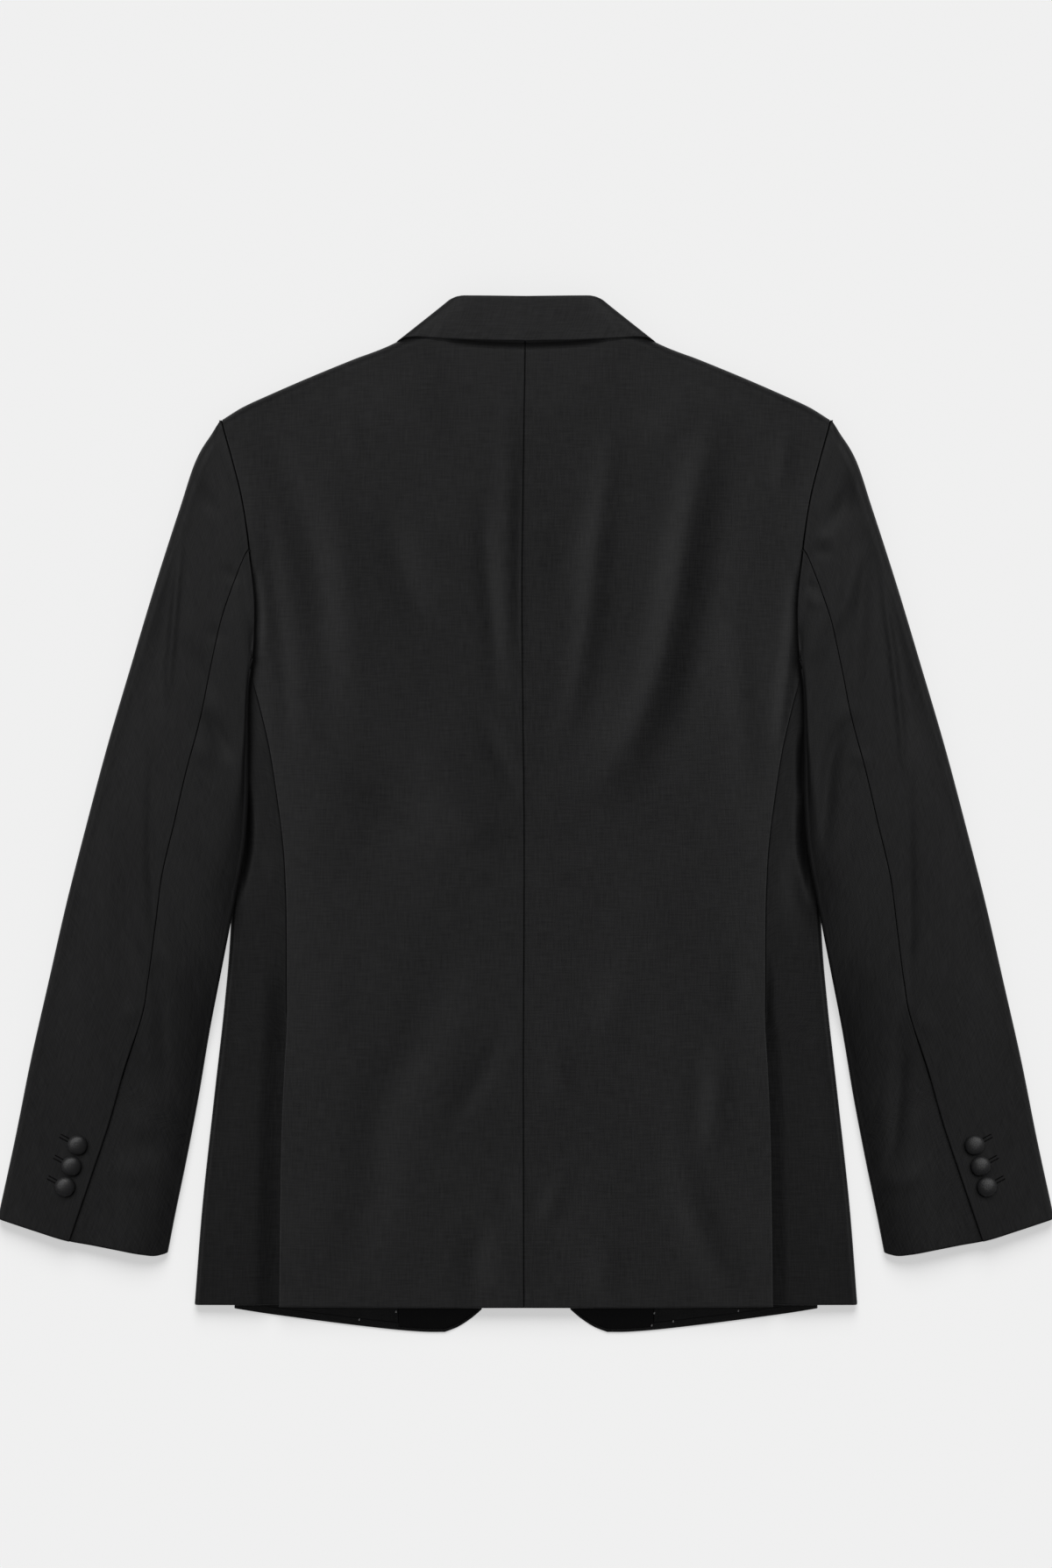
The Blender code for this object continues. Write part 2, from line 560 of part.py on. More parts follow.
def sleeve_grid(side, shares, upper, dip):
    """Points of a sleeve grid on its outer face, for shares across and the layer of each column."""
    crown, radius, outer_width, inner_width = (m[:, None] for m in sleeve_measures())
    plan = sleeve_plan(shares, upper)
    x, y = side * plan[..., 0], plan[..., 1]
    from_outer, from_inner = shares * outer_width, (1 - shares) * inner_width
    inner_edge = sleeve_plan(np.ones_like(shares), upper)
    floor = sleeve_lift(side * inner_edge[..., 0], inner_edge[..., 1])
    inner_middle = floor + INNER_FOLD
    swell_outer = 1 - np.exp(-np.maximum(from_outer - radius, 0) / EDGE_SOFTNESS)
    swell_inner = 1 - np.exp(-np.maximum(from_inner - INNER_FOLD, 0) / EDGE_SOFTNESS)
    outer_top = radius + edge_rise(from_outer, radius) + (crown - 2 * radius) * swell_outer
    inner_top = inner_middle + edge_rise(from_inner, INNER_FOLD)
    inner_top += np.maximum(crown - inner_middle - INNER_FOLD, 1) * swell_inner
    fade = ease(from_outer / 30) * ease(from_inner / 20)
    top = np.minimum(outer_top, inner_top) + relief(SLEEVE_FOLDS, x, y) * fade
    number = np.asarray(SLEEVE_ROWS, float)[:, None]
    flush = (1 - ease(number / 0.5)) * (1 - ease((shares - 0.82) / 0.1))
    joined = np.maximum(body_top(x, y), radius)
    top = top + (joined - top) * flush
    outer_bottom = radius - edge_rise(from_outer, radius)
    inner_bottom = inner_middle - edge_rise(from_inner, INNER_FOLD)
    near_inner = from_inner < INNER_FOLD
    bottom = np.maximum(outer_bottom, sleeve_lift(x, y))
    bottom = np.where(near_inner, np.maximum(inner_bottom, bottom), bottom)
    z = np.where(upper[None, :], top - dip, bottom)
    return np.stack([x, y, z], axis=-1)


def make_sleeve(side, top_name, under_name, finish, collection):
    """Both panels of a sleeve: the top sleeve round the outer fold, the under sleeve round the inner one."""
    _, radius, outer_width, inner_width = sleeve_measures()
    elbow = elbow_share()
    forearm = np.clip(1 - FOREARM_SEAM_INSET / inner_width, 0.7, 0.85)
    gap = ELBOW_GAP / outer_width
    near_armhole = ease(1 - np.asarray(SLEEVE_ROWS) / 1.5)
    hidden_gap = HIDDEN_SEAM_GAP / 2 / inner_width * (1 + 2.5 * near_armhole)
    angles = np.radians((90, 60, 30))
    fold = [radius * (1 - math.cos(a)) / outer_width for a in angles]
    first, last = elbow - gap, fold[0]
    over = [first + (last - first) * share for share in (0, 0.2, 0.4, 0.6, 0.8)]
    under_start, under_end = fold[0], forearm - hidden_gap
    below = [under_start + (under_end - under_start) * share for share in (0.2, 0.4, 0.6, 0.8, 1)]
    columns = over + fold + [0 * radius] + fold[::-1] + below
    upper = np.array([True] * (len(over) + 4) + [False] * (3 + len(below)))
    shares = np.stack(columns, axis=1)
    grid = sleeve_grid(side, shares, upper, 0 * shares)
    bent_grid(top_name, grid, CLOTH_WALL, True, finish, collection)

    seam_y = sleeve_plan(elbow[:, None], np.array([True]))[:, 0, 1]
    lap = VENT_LAP * 0.8 * ease((CUFF_VENT_TOP - seam_y) / 18)
    sunk = ease((CUFF_VENT_TOP + 45 - seam_y) / 18)
    angles = np.radians((90, 45, 0, 45, 90))
    inner_fold = [1 - INNER_FOLD * (1 - math.cos(angle)) / inner_width for angle in angles]
    offsets = (ELBOW_GAP - lap, 3 - 0.6 * lap, 6 - 0.2 * lap, 11 + 0 * lap)
    over = [elbow + offset / outer_width for offset in offsets]
    over.append((over[-1] + inner_fold[0]) / 2)
    hidden_end = forearm + hidden_gap
    columns = over + inner_fold + [(inner_fold[0] + hidden_end) / 2, hidden_end]
    upper = np.array([True] * (len(over) + 3) + [False] * 4)
    shares = np.stack(columns, axis=1)
    beyond = (shares - elbow[:, None]) * outer_width[:, None]
    dip = VENT_DIP * sunk[:, None] * (1 - ease((beyond - 0.5) / 9))
    grid = sleeve_grid(side, shares, upper, dip)
    bent_grid(under_name, grid, CLOTH_WALL, True, finish, collection)


def sleeve_top_at(side, place):
    """Place and normal of the top sleeve's outer face near a flat place, from the grid round it."""
    _, _, outer_width, _ = sleeve_measures()
    shares = np.repeat(np.linspace(0.02, 0.98, 200)[None, :], len(SLEEVE_ROWS), axis=0)
    grid = sleeve_grid(side, shares, np.full(200, True), 0 * shares).reshape(-1, 3)

    def height(x, y):
        weight = np.exp(-((grid[:, 0] - x) ** 2 + (grid[:, 1] - y) ** 2) / 60)
        return float((weight * grid[:, 2]).sum() / weight.sum())

    x, y = side * place[0], place[1]
    slope_x = (height(x + 4, y) - height(x - 4, y)) / 8
    slope_y = (height(x, y + 4) - height(x, y - 4)) / 8
    return (x, y, height(x, y)), (-slope_x, -slope_y, 1.0)


def build():
    for leftover in list(bpy.data.objects):
        bpy.data.objects.remove(leftover, do_unlink=True)
    jacket = bpy.data.collections.new("dinner_jacket")
    bpy.context.scene.collection.children.link(jacket)
    wool, satin, lining = new_material(*WOOL), new_material(*SATIN), new_material(*LINING)
    for side, word in ((-1, "left"), (1, "right")):
        over = 1 if side > 0 else 0
        make_back(side, f"back_{word}", wool, jacket)
        make_side_panel(side, f"side_panel_{word}", wool, jacket)
        make_front(side, f"front_{word}", over, wool, jacket)
        make_front_inside(side, word, over, wool, lining, jacket)
        make_lapel(side, f"lapel_{word}", satin, jacket)
        make_sleeve(side, f"top_sleeve_{word}", f"under_sleeve_{word}", wool, jacket)
        for number, place in enumerate(CUFF_BUTTONS, start=1):
            spot, normal = sleeve_top_at(side, place)
            spot = (spot[0], spot[1], spot[2] + BUTTON_SEAT)
            name = f"cuff_button_{word}_{number}"
            turned_button(name, CUFF_BUTTON_PROFILE, spot, normal, satin, jacket)
    make_collar_fall("collar_fall", wool, jacket)
    make_collar_stand("collar_stand", wool, jacket)
    turned_button("front_button", FRONT_BUTTON_PROFILE, (*FRONT_BUTTON, 0), (0, 0, 1), satin, jacket)


build()
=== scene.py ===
"""A black dinner jacket lying face down on a pale floor, its back up, seen from straight above.

Sizes are in millimetres and become metres where a mesh is made. X runs across the jacket, Y from the hem to
the collar and Z up from the floor. The wearer's left is at -X.
"""
import json
import math

import bpy
import numpy as np
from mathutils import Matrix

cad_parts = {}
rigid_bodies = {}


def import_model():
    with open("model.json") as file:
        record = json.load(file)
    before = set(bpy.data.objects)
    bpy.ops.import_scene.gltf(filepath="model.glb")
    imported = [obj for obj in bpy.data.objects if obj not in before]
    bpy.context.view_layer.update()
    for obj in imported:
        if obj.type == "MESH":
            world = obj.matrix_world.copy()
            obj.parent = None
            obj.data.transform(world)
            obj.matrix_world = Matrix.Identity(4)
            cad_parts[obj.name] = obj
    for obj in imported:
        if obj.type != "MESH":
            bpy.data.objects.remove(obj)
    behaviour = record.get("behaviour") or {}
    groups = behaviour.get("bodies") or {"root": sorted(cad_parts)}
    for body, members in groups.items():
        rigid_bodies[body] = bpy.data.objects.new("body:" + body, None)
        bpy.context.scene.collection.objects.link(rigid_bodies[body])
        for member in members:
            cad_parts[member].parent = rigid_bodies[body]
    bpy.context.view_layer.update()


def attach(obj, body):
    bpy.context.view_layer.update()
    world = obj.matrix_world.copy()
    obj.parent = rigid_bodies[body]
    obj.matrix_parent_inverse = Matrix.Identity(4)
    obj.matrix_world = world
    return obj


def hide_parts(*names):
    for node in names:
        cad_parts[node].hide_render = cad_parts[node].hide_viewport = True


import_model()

# ---------------- floor, light and camera
# The jacket lies on a smooth pale floor that glows a little. Soft suns light the floor, each half, its side
# panel and its sleeve apart, and one wide lamp beyond the collar lights all the cloth. The camera hangs
# straight above with a long lens.
MM = 0.001
SIDES = ((-1, "left"), (1, "right"))
WHITE = (1.0, 1.0, 1.0, 1.0)
VIEW_HEIGHT = 1192.7
VIEW_MIDDLE_Y = 23.7
VIEW_END = 50.0
CLOTH_LEVEL = 12.0
LENS = 120.0
FILM = 36.0
GLOW = 0.12
FLOOR_WHITE = 0.8
FLOOR_GLOW = 0.505
FLOOR_REACH = 4.0
FLOOR_DROP = 0.0004
LIT_PARTS = ("floor", "left", "right", "left_side", "right_side", "left_sleeve", "right_sleeve")
# Suns: name, what it falls on, way round from beyond the collar, strength; lean from straight above, spread.
FLOOR_SUN = ("floor_light", "floor", 0, 1.8, 54, 40)
HALF_SUNS = (
    ("{}_light", "{}", 92, 2.62),
    ("{}_side_light", "{}_side", 88, 1.6),
    ("{}_sleeve_light", "{}_sleeve", 42, 2.3),
    ("{}_fill", "middle", 75, 1.75),
)
SUN_LEAN = 36
SUN_SPREAD = 50
# The wide lamp beyond the collar, in metres and watts.
LAMP_PLACE = (0, 1.7, 1.7)
LAMP_SIZE = (1.1, 0.6)
LAMP_POWER = 14.0

glow = bpy.data.worlds.new("studio_glow")
glow.use_nodes = True
backdrop = glow.node_tree.nodes["Background"].inputs
backdrop["Color"].default_value, backdrop["Strength"].default_value = WHITE, GLOW
bpy.context.scene.world = glow
bpy.context.scene.view_settings.view_transform = "Standard"
lit_parts = {part: bpy.data.collections.new(f"lit_{part}") for part in (*LIT_PARTS, "middle", "cloth")}


def put_in_scene(name, data):
    """An object of that name that holds the data, at the origin."""
    made = bpy.data.objects.new(name, data)
    bpy.context.scene.collection.objects.link(made)
    return made


def soft_sun(name, part, turn, power, lean=SUN_LEAN, spread=SUN_SPREAD):
    """A sun that leans from straight above, turned round from beyond the collar, and lights one part only."""
    light = bpy.data.lights.new(name, "SUN")
    light.energy = power
    light.angle = math.radians(spread)
    sun = put_in_scene(name, light)
    sun.rotation_euler = (math.radians(-lean), 0, math.radians(-turn))
    sun.light_linking.receiver_collection = lit_parts[part]


def look(finish, inputs, node=None):
    """Links each input of a finish's node, or of its main shader, to a given socket, or sets it."""
    node = node or finish.node_tree.nodes["Principled BSDF"]
    for name, value in inputs.items():
        if isinstance(value, bpy.types.NodeSocket):
            finish.node_tree.links.new(value, node.inputs[name])
        else:
            node.inputs[name].default_value = value
    return node.outputs


def new_finish(name, inputs):
    """A finish of that name, with the given inputs of its main shader."""
    finish = bpy.data.materials.new(name)
    finish.use_nodes = True
    look(finish, inputs)
    return finish


soft_sun(*FLOOR_SUN)
for name, part, turn, power in HALF_SUNS:
    for side, word in SIDES:
        soft_sun(name.format(word), part.format(word), side * turn, power)
light = bpy.data.lights.new("collar_light", "AREA")
light.shape = "RECTANGLE"
light.size, light.size_y = LAMP_SIZE
light.energy = LAMP_POWER
lamp = put_in_scene("collar_light", light)
lamp.location = LAMP_PLACE
lamp.rotation_euler = (-math.atan2(LAMP_PLACE[1], LAMP_PLACE[2]), 0, 0)
lamp.light_linking.receiver_collection = lit_parts["cloth"]

ways = ((-1, -1), (1, -1), (1, 1), (-1, 1))
floor_mesh = bpy.data.meshes.new("floor")
floor_mesh.from_pydata([(x * FLOOR_REACH, y * FLOOR_REACH, -FLOOR_DROP) for x, y in ways], [], [(0, 1, 2, 3)])
floor_looks = {
    "Base Color": (FLOOR_WHITE, FLOOR_WHITE, FLOOR_WHITE, 1.0),
    "Emission Color": WHITE,
    "Emission Strength": FLOOR_GLOW,
    "Roughness": 0.9,
    "Specular IOR Level": 0.0,
}
floor_mesh.materials.append(new_finish("pale_floor", floor_looks))
floor = put_in_scene("floor", floor_mesh)

camera_data = bpy.data.cameras.new("overhead_camera")
camera_data.lens = LENS
camera_data.sensor_width = FILM
camera_data.clip_end = VIEW_END
camera = put_in_scene("overhead_camera", camera_data)
camera.location = (0, VIEW_MIDDLE_Y * MM, (LENS * VIEW_HEIGHT / FILM + CLOTH_LEVEL) * MM)
bpy.context.scene.camera = camera

# ---------------- the back
# Two halves of fine black worsted, seamed down the middle, cut in to the waist and left open at the side
# seams below it for the vents. Each half is pressed flat at the hem, and drapes in soft long folds. The
# allowances of the middle seam lie pressed open under it, as one strip.
CLOTH_WALL = 1.2
SEAM_GAP = 0.14
SHOULDER_GAP = 1.0
MITRE = 10.0
# The body swells inwards from its round side: start and softness. Folds fade out beside that side, and are
# made of dents that stand this share of their half width apart.
SWELL_START = 8.0
SWELL_SOFTNESS = 40.0
FOLD_FADE = 12.0
DENT_STEP = 0.8
# Edges turned in: which one, how far the turn reaches, how far it drops and how high it puckers.
BACK_TURNS = (("left", 0.7, 0.45, 0.04), ("right", 0.9, 0.6, 0.06), ("bottom", 1.6, 0.9, 0.04))
PUCKER_REACH = 4.5
RIM_BULGE = 0.35
# Distances in from an edge at which the mesh has rows: at a turned edge, and at a round fold.
EDGE_STOPS = (0, 0.12, 0.3, 0.55, 0.85, 1.2, 1.7, 2.5, 3.6, 5.2)
FOLD_STOPS = (0, 0.12, 0.35, 0.7, 1.2, 1.8, 2.6, 3.6, 4.8, 6.2, 8, 10.5, 13.5)
STRAY_REACH = 72.0
ALLOWANCE_ENDS = (-374.6, 362.5)
ALLOWANCE_WIDTH = 24.0
ALLOWANCE_WALL = 0.6
ALLOWANCE_GAP = 0.3
UP = np.array((0, 0, 1))

# Half width of the body tube at each height: y, x. Above the armpit it runs on under the sleeve.
BODY_EDGE = (
    (-373, 252.5), (-300, 246.8), (-220, 238.2), (-140, 229.3), (-107, 226.3), (-60, 224.5), (-20, 226),
    (30, 230), (80, 236), (110, 240), (150, 262), (200, 274), (250, 262), (300, 240),
)
# Height of the middle of the back over the floor, and radius of the side fold: y, height, radius.
BODY_HEIGHT = (
    (-375, 9.5, 3.8), (-300, 10.8, 4), (-150, 12.5, 4.4), (-60, 14, 4.6), (40, 17, 4.8),
    (110, 19, 5), (200, 22, 7), (280, 23, 8), (340, 21.5, 8), (366, 20, 8),
)
# Outlines of the right half: x, y.
SHOULDER = (
    (76, 367.3), (85, 365.2), (92, 362.9), (98, 360.3), (104.6, 357.2), (112, 354.1), (120, 351.1), (132, 346.7),
    (164.7, 333.3), (195.3, 320), (216, 310.4), (231.5, 300.7),
)
BACK_ARMHOLE = (
    (231.5, 300.7), (227, 284.7), (222, 266.7), (216, 242.7), (211.5, 215), (208.6, 185), (207.3, 153.3),
    (208.4, 128), (210, 110),
)
SIDE_SEAM = (
    (188, -374.5), (187.7, -330), (186.5, -250), (184.5, -200), (182.2, -159), (182.2, -125), (182.2, -90),
    (182.8, -58), (184.8, -23), (189.3, 13), (195.3, 51), (202.7, 83), (210, 110),
)
BACK_NECK = ((0, 364.4), (26, 364.8), (50, 365.6), (66, 366.6), (76, 367.3))
BACK_HEM = ((0, -375.3), (100, -375.3), (188, -374.5))
BACK_MIDDLE = ((0, -375.3), (0, -100), (0, 150), (0, 364.4))
# How far the centre-back seam strays from the middle: y, x. The cloth beside it strays less and less.
CENTRE_BACK = ((-375, -1.7), (-200, -2.0), (0, -1.5), (100, -2.6), (175, -3.2), (250, -2.2), (364, -0.6))
# Folds: half width, height over the cloth round it, and x, y of each place that it runs through.
BODY_FOLDS = (
    (10, -4.3, 144, 300, 130, 247, 121, 203, 114, 158, 103, 112, 92, 78, 77, 48, 55, 22),
    (13, 1.3, 160, 270, 147, 225, 139, 180, 130, 130, 118, 80, 100, 42, 76, 10),
    (17, -2.2, 92, 104, 76, 68, 56, 42, 34, 22),
    (7, -1.9, 66, 293, 60, 247, 53, 193, 47, 140, 37, 87, 25, 53),
    (9, 0.9, 37, 227, 20, 167),
    (5, -1.1, -33, 240, -30, 187, -25, 140, -23, 90),
    (6, 0.9, -13.5, 320, -13, 247, -13.5, 187, -15, 127),
    (3, -0.7, -5, 260, -6.5, 187, -5.5, 113),
    (5.5, -0.8, -38, 81, -27, 58, -13, 30, -5, 10),
    (10, -1.7, -106, 223, -95, 187, -77, 147),
    (9.5, -1.3, -193, 293, -177, 240, -163, 200, -156, 153, -153, 107, -148, 60),
    (9, 0.8, -147, 260, -141, 207, -135, 153, -130, 113),
    (5.5, -0.9, -197, 247, -193, 187, -184, 113, -181, 47),
    (10, -0.9, -63, 313, -47, 287),
    (2.6, -2.4, -80, 362.8, -45, 361.2, 0, 360, 45, 361.2, 80, 362.8),
    (2.3, -5.6, -58, 362.2, -40, 361.2, 0, 359.9, 40, 361.2, 58, 362.2),
    (8, -1.6, 98, 291, 126, 306),
    (5, 0.6, -138, 307, -127, 277),
    (9, -1.2, -133, 20, -100, 12, -67, 7),
    (8, 0.8, -87, -19, -53, -19, -20, -13),
    (4.5, -0.9, 199, 290, 193, 247),
    (8, -0.9, 159, 153, 164, 87, 168, 20),
    (13, -1.4, -53, -103, -77, -157, -100, -200, -113, -240, -117, -280, -127, -327, -155, -362),
    (12, 0.6, -37, -147, -60, -187, -72, -220),
    (22, 1.1, 60, 150, 40, 60),
    (20, -1.4, -90, 60, -120, -40),
    (14, 1.3, -60, -8, -30, -16),
    (24, -1.5, 90, -60, 110, -160),
    (20, 1, 0, -250, 20, -330),
    (6, -0.9, -17, -167, -37, -203, -60, -237),
    (6, -0.7, -19, -283, -7, -303),
    (8, -1.3, -33, -317, -40, -340, -39, -365),
    (5, -0.9, 30, -277, 12, -310),
    (7, -0.7, 23, -177, 27, -210),
    (9, -0.9, 77, -120, 60, -167),
    (8, -0.9, 60, -327, 60, -367),
    (8, -1, 148, -177, 144, -220, 141, -263),
    (9, -1.2, 115, -250, 127, -300, 140, -333, 161, -368),
    (7, 0.6, 159, -113, 159, -153),
    (6, 0.5, 133, -190, 130, -247),
    (10, 0.6, -143, -107, -150, -167),
    (2.8, -5, -213.4, 20, -212.8, -7, -213.4, -26, -216, -40, -219, -53, -222, -66),
    (4, -0.9, -210, 100, -211, 60, -211, 30),
    (6, -1.5, -207, -30, -198, -38),
    (6, -1.6, 207, -20, 204, -60, 212, -85),
    (3, -5, 210, 12, 210.8, -8, 212, -26, 214.6, -40, 218, -56, 221, -68),
    (2.4, -3.2, 209.8, 62, 210, 40, 210.2, 10),
    (2.5, -1.5, -205.5, 187, -204, 150, -207, 112),
    (3.5, -1.7, 204, 185, 203, 150, 200, 120, 195, 80, 192, 55),
)

# Worsted: colour of the deep and of the raised threads, roughness, gloss, nap, thread pitch in mm.
WORSTED = ("black_worsted", (0.0042, 0.0042, 0.0044), (0.0136, 0.0136, 0.0139), 0.50, 0.10, 0.02, 0.9)
BLACK_LINING = ("black_lining", (0.0008, 0.0008, 0.0009), (0.0018, 0.0018, 0.0019), 0.40, 0.05, 0.0, 0.5)


def column(table, at, index=1):
    """One column of a table, read by its first: a cubic through the rows, each with its neighbours' slope."""
    rows = np.asarray(table, float)
    key, value = rows[:, 0], rows[:, index]
    slope = np.gradient(value, key)
    at = np.clip(at, key[0], key[-1])
    i = np.clip(np.searchsorted(key, at) - 1, 0, len(key) - 2)
    span = key[i + 1] - key[i]
    t = (at - key[i]) / span
    start = (1 + 2 * t) * (1 - t) ** 2 * value[i] + t * (1 - t) ** 2 * span * slope[i]
    return start + t * t * (3 - 2 * t) * value[i + 1] - t * t * (1 - t) * span * slope[i + 1]


def ease(share):
    """0 below 0 and 1 above 1, with a smooth step between: three squares less two cubes."""
    share = np.clip(share, 0.0, 1.0)
    return share * share * (3.0 - 2.0 * share)


def spline(table, at):
    """Points on the Catmull-Rom curve through a table's rows, at fractional row numbers."""
    rows = np.asarray(table, float)
    rows = np.vstack([2 * rows[0] - rows[1], rows, 2 * rows[-1] - rows[-2]])
    at = np.clip(np.asarray(at, float), 0, len(table) - 1)
    span = np.minimum(at.astype(int), len(table) - 2)
    u = (at - span)[:, None]
    before, start, end, after = (rows[span + k] for k in range(4))
    bend = 2 * before - 5 * start + 4 * end - after
    twist = 3 * start - before - 3 * end + after
    return 0.5 * (2 * start + (end - before) * u + bend * u**2 + twist * u**3)


def along(table, shares):
    """Points at shares of the length of the curve through a table's rows."""
    dense = spline(table, np.linspace(0, len(table) - 1, 60 * len(table)))
    steps = np.linalg.norm(np.diff(dense, axis=0), axis=1)
    length = np.concatenate([[0.0], np.cumsum(steps)])
    at = np.asarray(shares, float) * length[-1]
    return np.stack([np.interp(at, length, dense[:, k]) for k in range(dense.shape[1])], axis=1)


def patch(bottom, top, left, right, across, up):
    """A flat panel between its four edges: the two ways of joining them, less the one through the corners."""
    bottom, top = along(bottom, across), along(top, across)
    left, right = along(left, up)[:, None], along(right, up)[:, None]
    s, t = across[:, None], up[:, None, None]
    low, high = ((1 - s) * edge[0] + s * edge[-1] for edge in (bottom, top))
    return (1 - t) * (bottom - low) + t * (top - high) + (1 - s) * left + s * right


def stops(length, spacing, near_start=EDGE_STOPS, near_end=EDGE_STOPS):
    """Shares of a length: given distances from each end, and even steps between them."""
    middle = np.arange(near_start[-1] + spacing, length - near_end[-1] - spacing / 2, spacing)
    return np.concatenate([near_start, middle, length - np.asarray(near_end)[::-1]]) / length


def line_distance(table, x, y):
    """Distance from each place to the nearest of the straight stretches of a smooth line."""
    ends = along(table, np.linspace(0, 1, 25))
    start, step = ends[:-1], np.diff(ends, axis=0)
    offset = np.stack([x, y], axis=-1)[..., None, :] - start
    share = np.clip((offset * step).sum(-1) / (step**2).sum(-1), 0, 1)
    return np.linalg.norm(offset - share[..., None] * step, axis=-1).min(-1)


def lesser(a, b, blend):
    """The lesser of two heights, rounded off where they cross within the blend."""
    h = np.clip(0.5 + 0.5 * (b - a) / blend, 0, 1)
    return b + (a - b) * h - blend * h * (1 - h) / 2


def relief(folds, x, y):
    """Height of the folds at each place: each is a row of round bell-shaped dents, fading at its two ends."""
    total = np.zeros(np.shape(x))
    for width, height, *places in folds:
        places = np.reshape(places, (-1, 2))
        length = np.linalg.norm(np.diff(places, axis=0), axis=1).sum()
        count = 3 + int(length / (DENT_STEP * width))
        strength = height * length / (count - 1) / (width * math.sqrt(2 * math.pi))
        strength = strength * np.sin(np.pi * (np.arange(count) + 0.6) / (count + 0.2)) ** 0.7
        for (cx, cy), dent in zip(along(places, np.linspace(0, 1, count)), strength):
            total += dent * np.exp(-((x - cx) ** 2 + (y - cy) ** 2) / (2 * width**2))
    return total


def edge_rise(distance, radius):
    """Height of a round fold over its middle, at a distance in from its edge: a quarter circle."""
    inside = np.clip(distance, 0, radius)
    return np.sqrt(np.maximum(radius**2 - (radius - inside) ** 2, 0))


def swell(distance):
    """Share of the full height at a distance in from the fold: slow at first, dying away to all of it."""
    beyond = np.maximum(distance, 0)
    return 1 - np.exp(-(beyond**2) / (beyond + SWELL_START) / SWELL_SOFTNESS)


def body_form(x, y):
    """Height of the smooth body, and distance in from its side: a round fold and a gentle swell inwards."""
    away = np.abs(x)
    middle, radius = column(BODY_HEIGHT, y, 1), column(BODY_HEIGHT, y, 2)
    inward = np.maximum(lesser(column(BODY_EDGE, y) - away, line_distance(SHOULDER, away, y), MITRE), 0)
    return radius + edge_rise(inward, radius) + (middle - 2 * radius) * swell(inward - radius), inward


def body_top(x, y):
    """Height of the back and the side panels: the smooth body and the folds."""
    form, inward = body_form(x, y)
    return form + relief(BODY_FOLDS, x, y) * ease(inward / FOLD_FADE)


def unit(ways):
    """Each way made one long: divided by its own length."""
    return ways / np.maximum(np.linalg.norm(ways, axis=-1, keepdims=True), 1e-9)


def face_of(grid):
    """The way square to the cloth at each point: the step across crossed with the step up."""
    return unit(np.cross(np.gradient(grid, axis=1), np.gradient(grid, axis=0)))


def cloth_distances(grid):
    """Distance over the cloth from each of the four edges: running sums of the steps between points."""
    left = np.cumsum(np.linalg.norm(np.diff(grid, axis=1, prepend=grid[:, :1]), axis=2), axis=1)
    bottom = np.cumsum(np.linalg.norm(np.diff(grid, axis=0, prepend=grid[:1]), axis=2), axis=0)
    return {"left": left, "right": left[:, -1:] - left, "bottom": bottom, "top": bottom[-1:] - bottom}


def sewn(grid, outward, edges):
    """The panel with its edges turned in: each falls in a quarter circle, with faint puckers beside it."""
    normal = face_of(grid)
    if normal[len(grid) // 2, 2] @ outward < 0:
        normal = -normal
    distance = cloth_distances(grid)
    sunk = np.zeros(grid.shape[:2])
    for edge, reach, drop, pucker in edges:
        from_edge = distance[edge]
        run = distance["bottom"] if edge in ("left", "right") else distance["left"]
        inside = np.clip(from_edge / reach, 0, 1)
        fall = drop * (1 - np.sqrt(np.maximum(1 - (1 - inside) ** 2, 0)))
        wave = np.sin(run / 1.9 + 1.7 * np.sin(run / 8.3)) + 0.6 * np.sin(run / 4.7 + 2 * np.sin(run / 21))
        fading = np.exp(-from_edge / PUCKER_REACH) * np.clip(from_edge, 0, 1)
        sunk = np.maximum(sunk, fall) + pucker * wave * fading
    return grid - normal * sunk[:, :, None]


def smooth_piece(name, points, faces, finishes, threads=None):
    """An object of points in millimetres and faces; threads are the points' places on the flat cloth."""
    mesh = bpy.data.meshes.new(name)
    mesh.from_pydata((points * MM).tolist(), [], faces)
    if threads is not None:
        corners = np.zeros(len(mesh.loops), int)
        mesh.loops.foreach_get("vertex_index", corners)
        mesh.uv_layers.new(name="threads").data.foreach_set("uv", (threads * MM)[corners].ravel())
    for finish in finishes:
        mesh.materials.append(finish)
    mesh.shade_smooth()
    return put_in_scene(name, mesh)


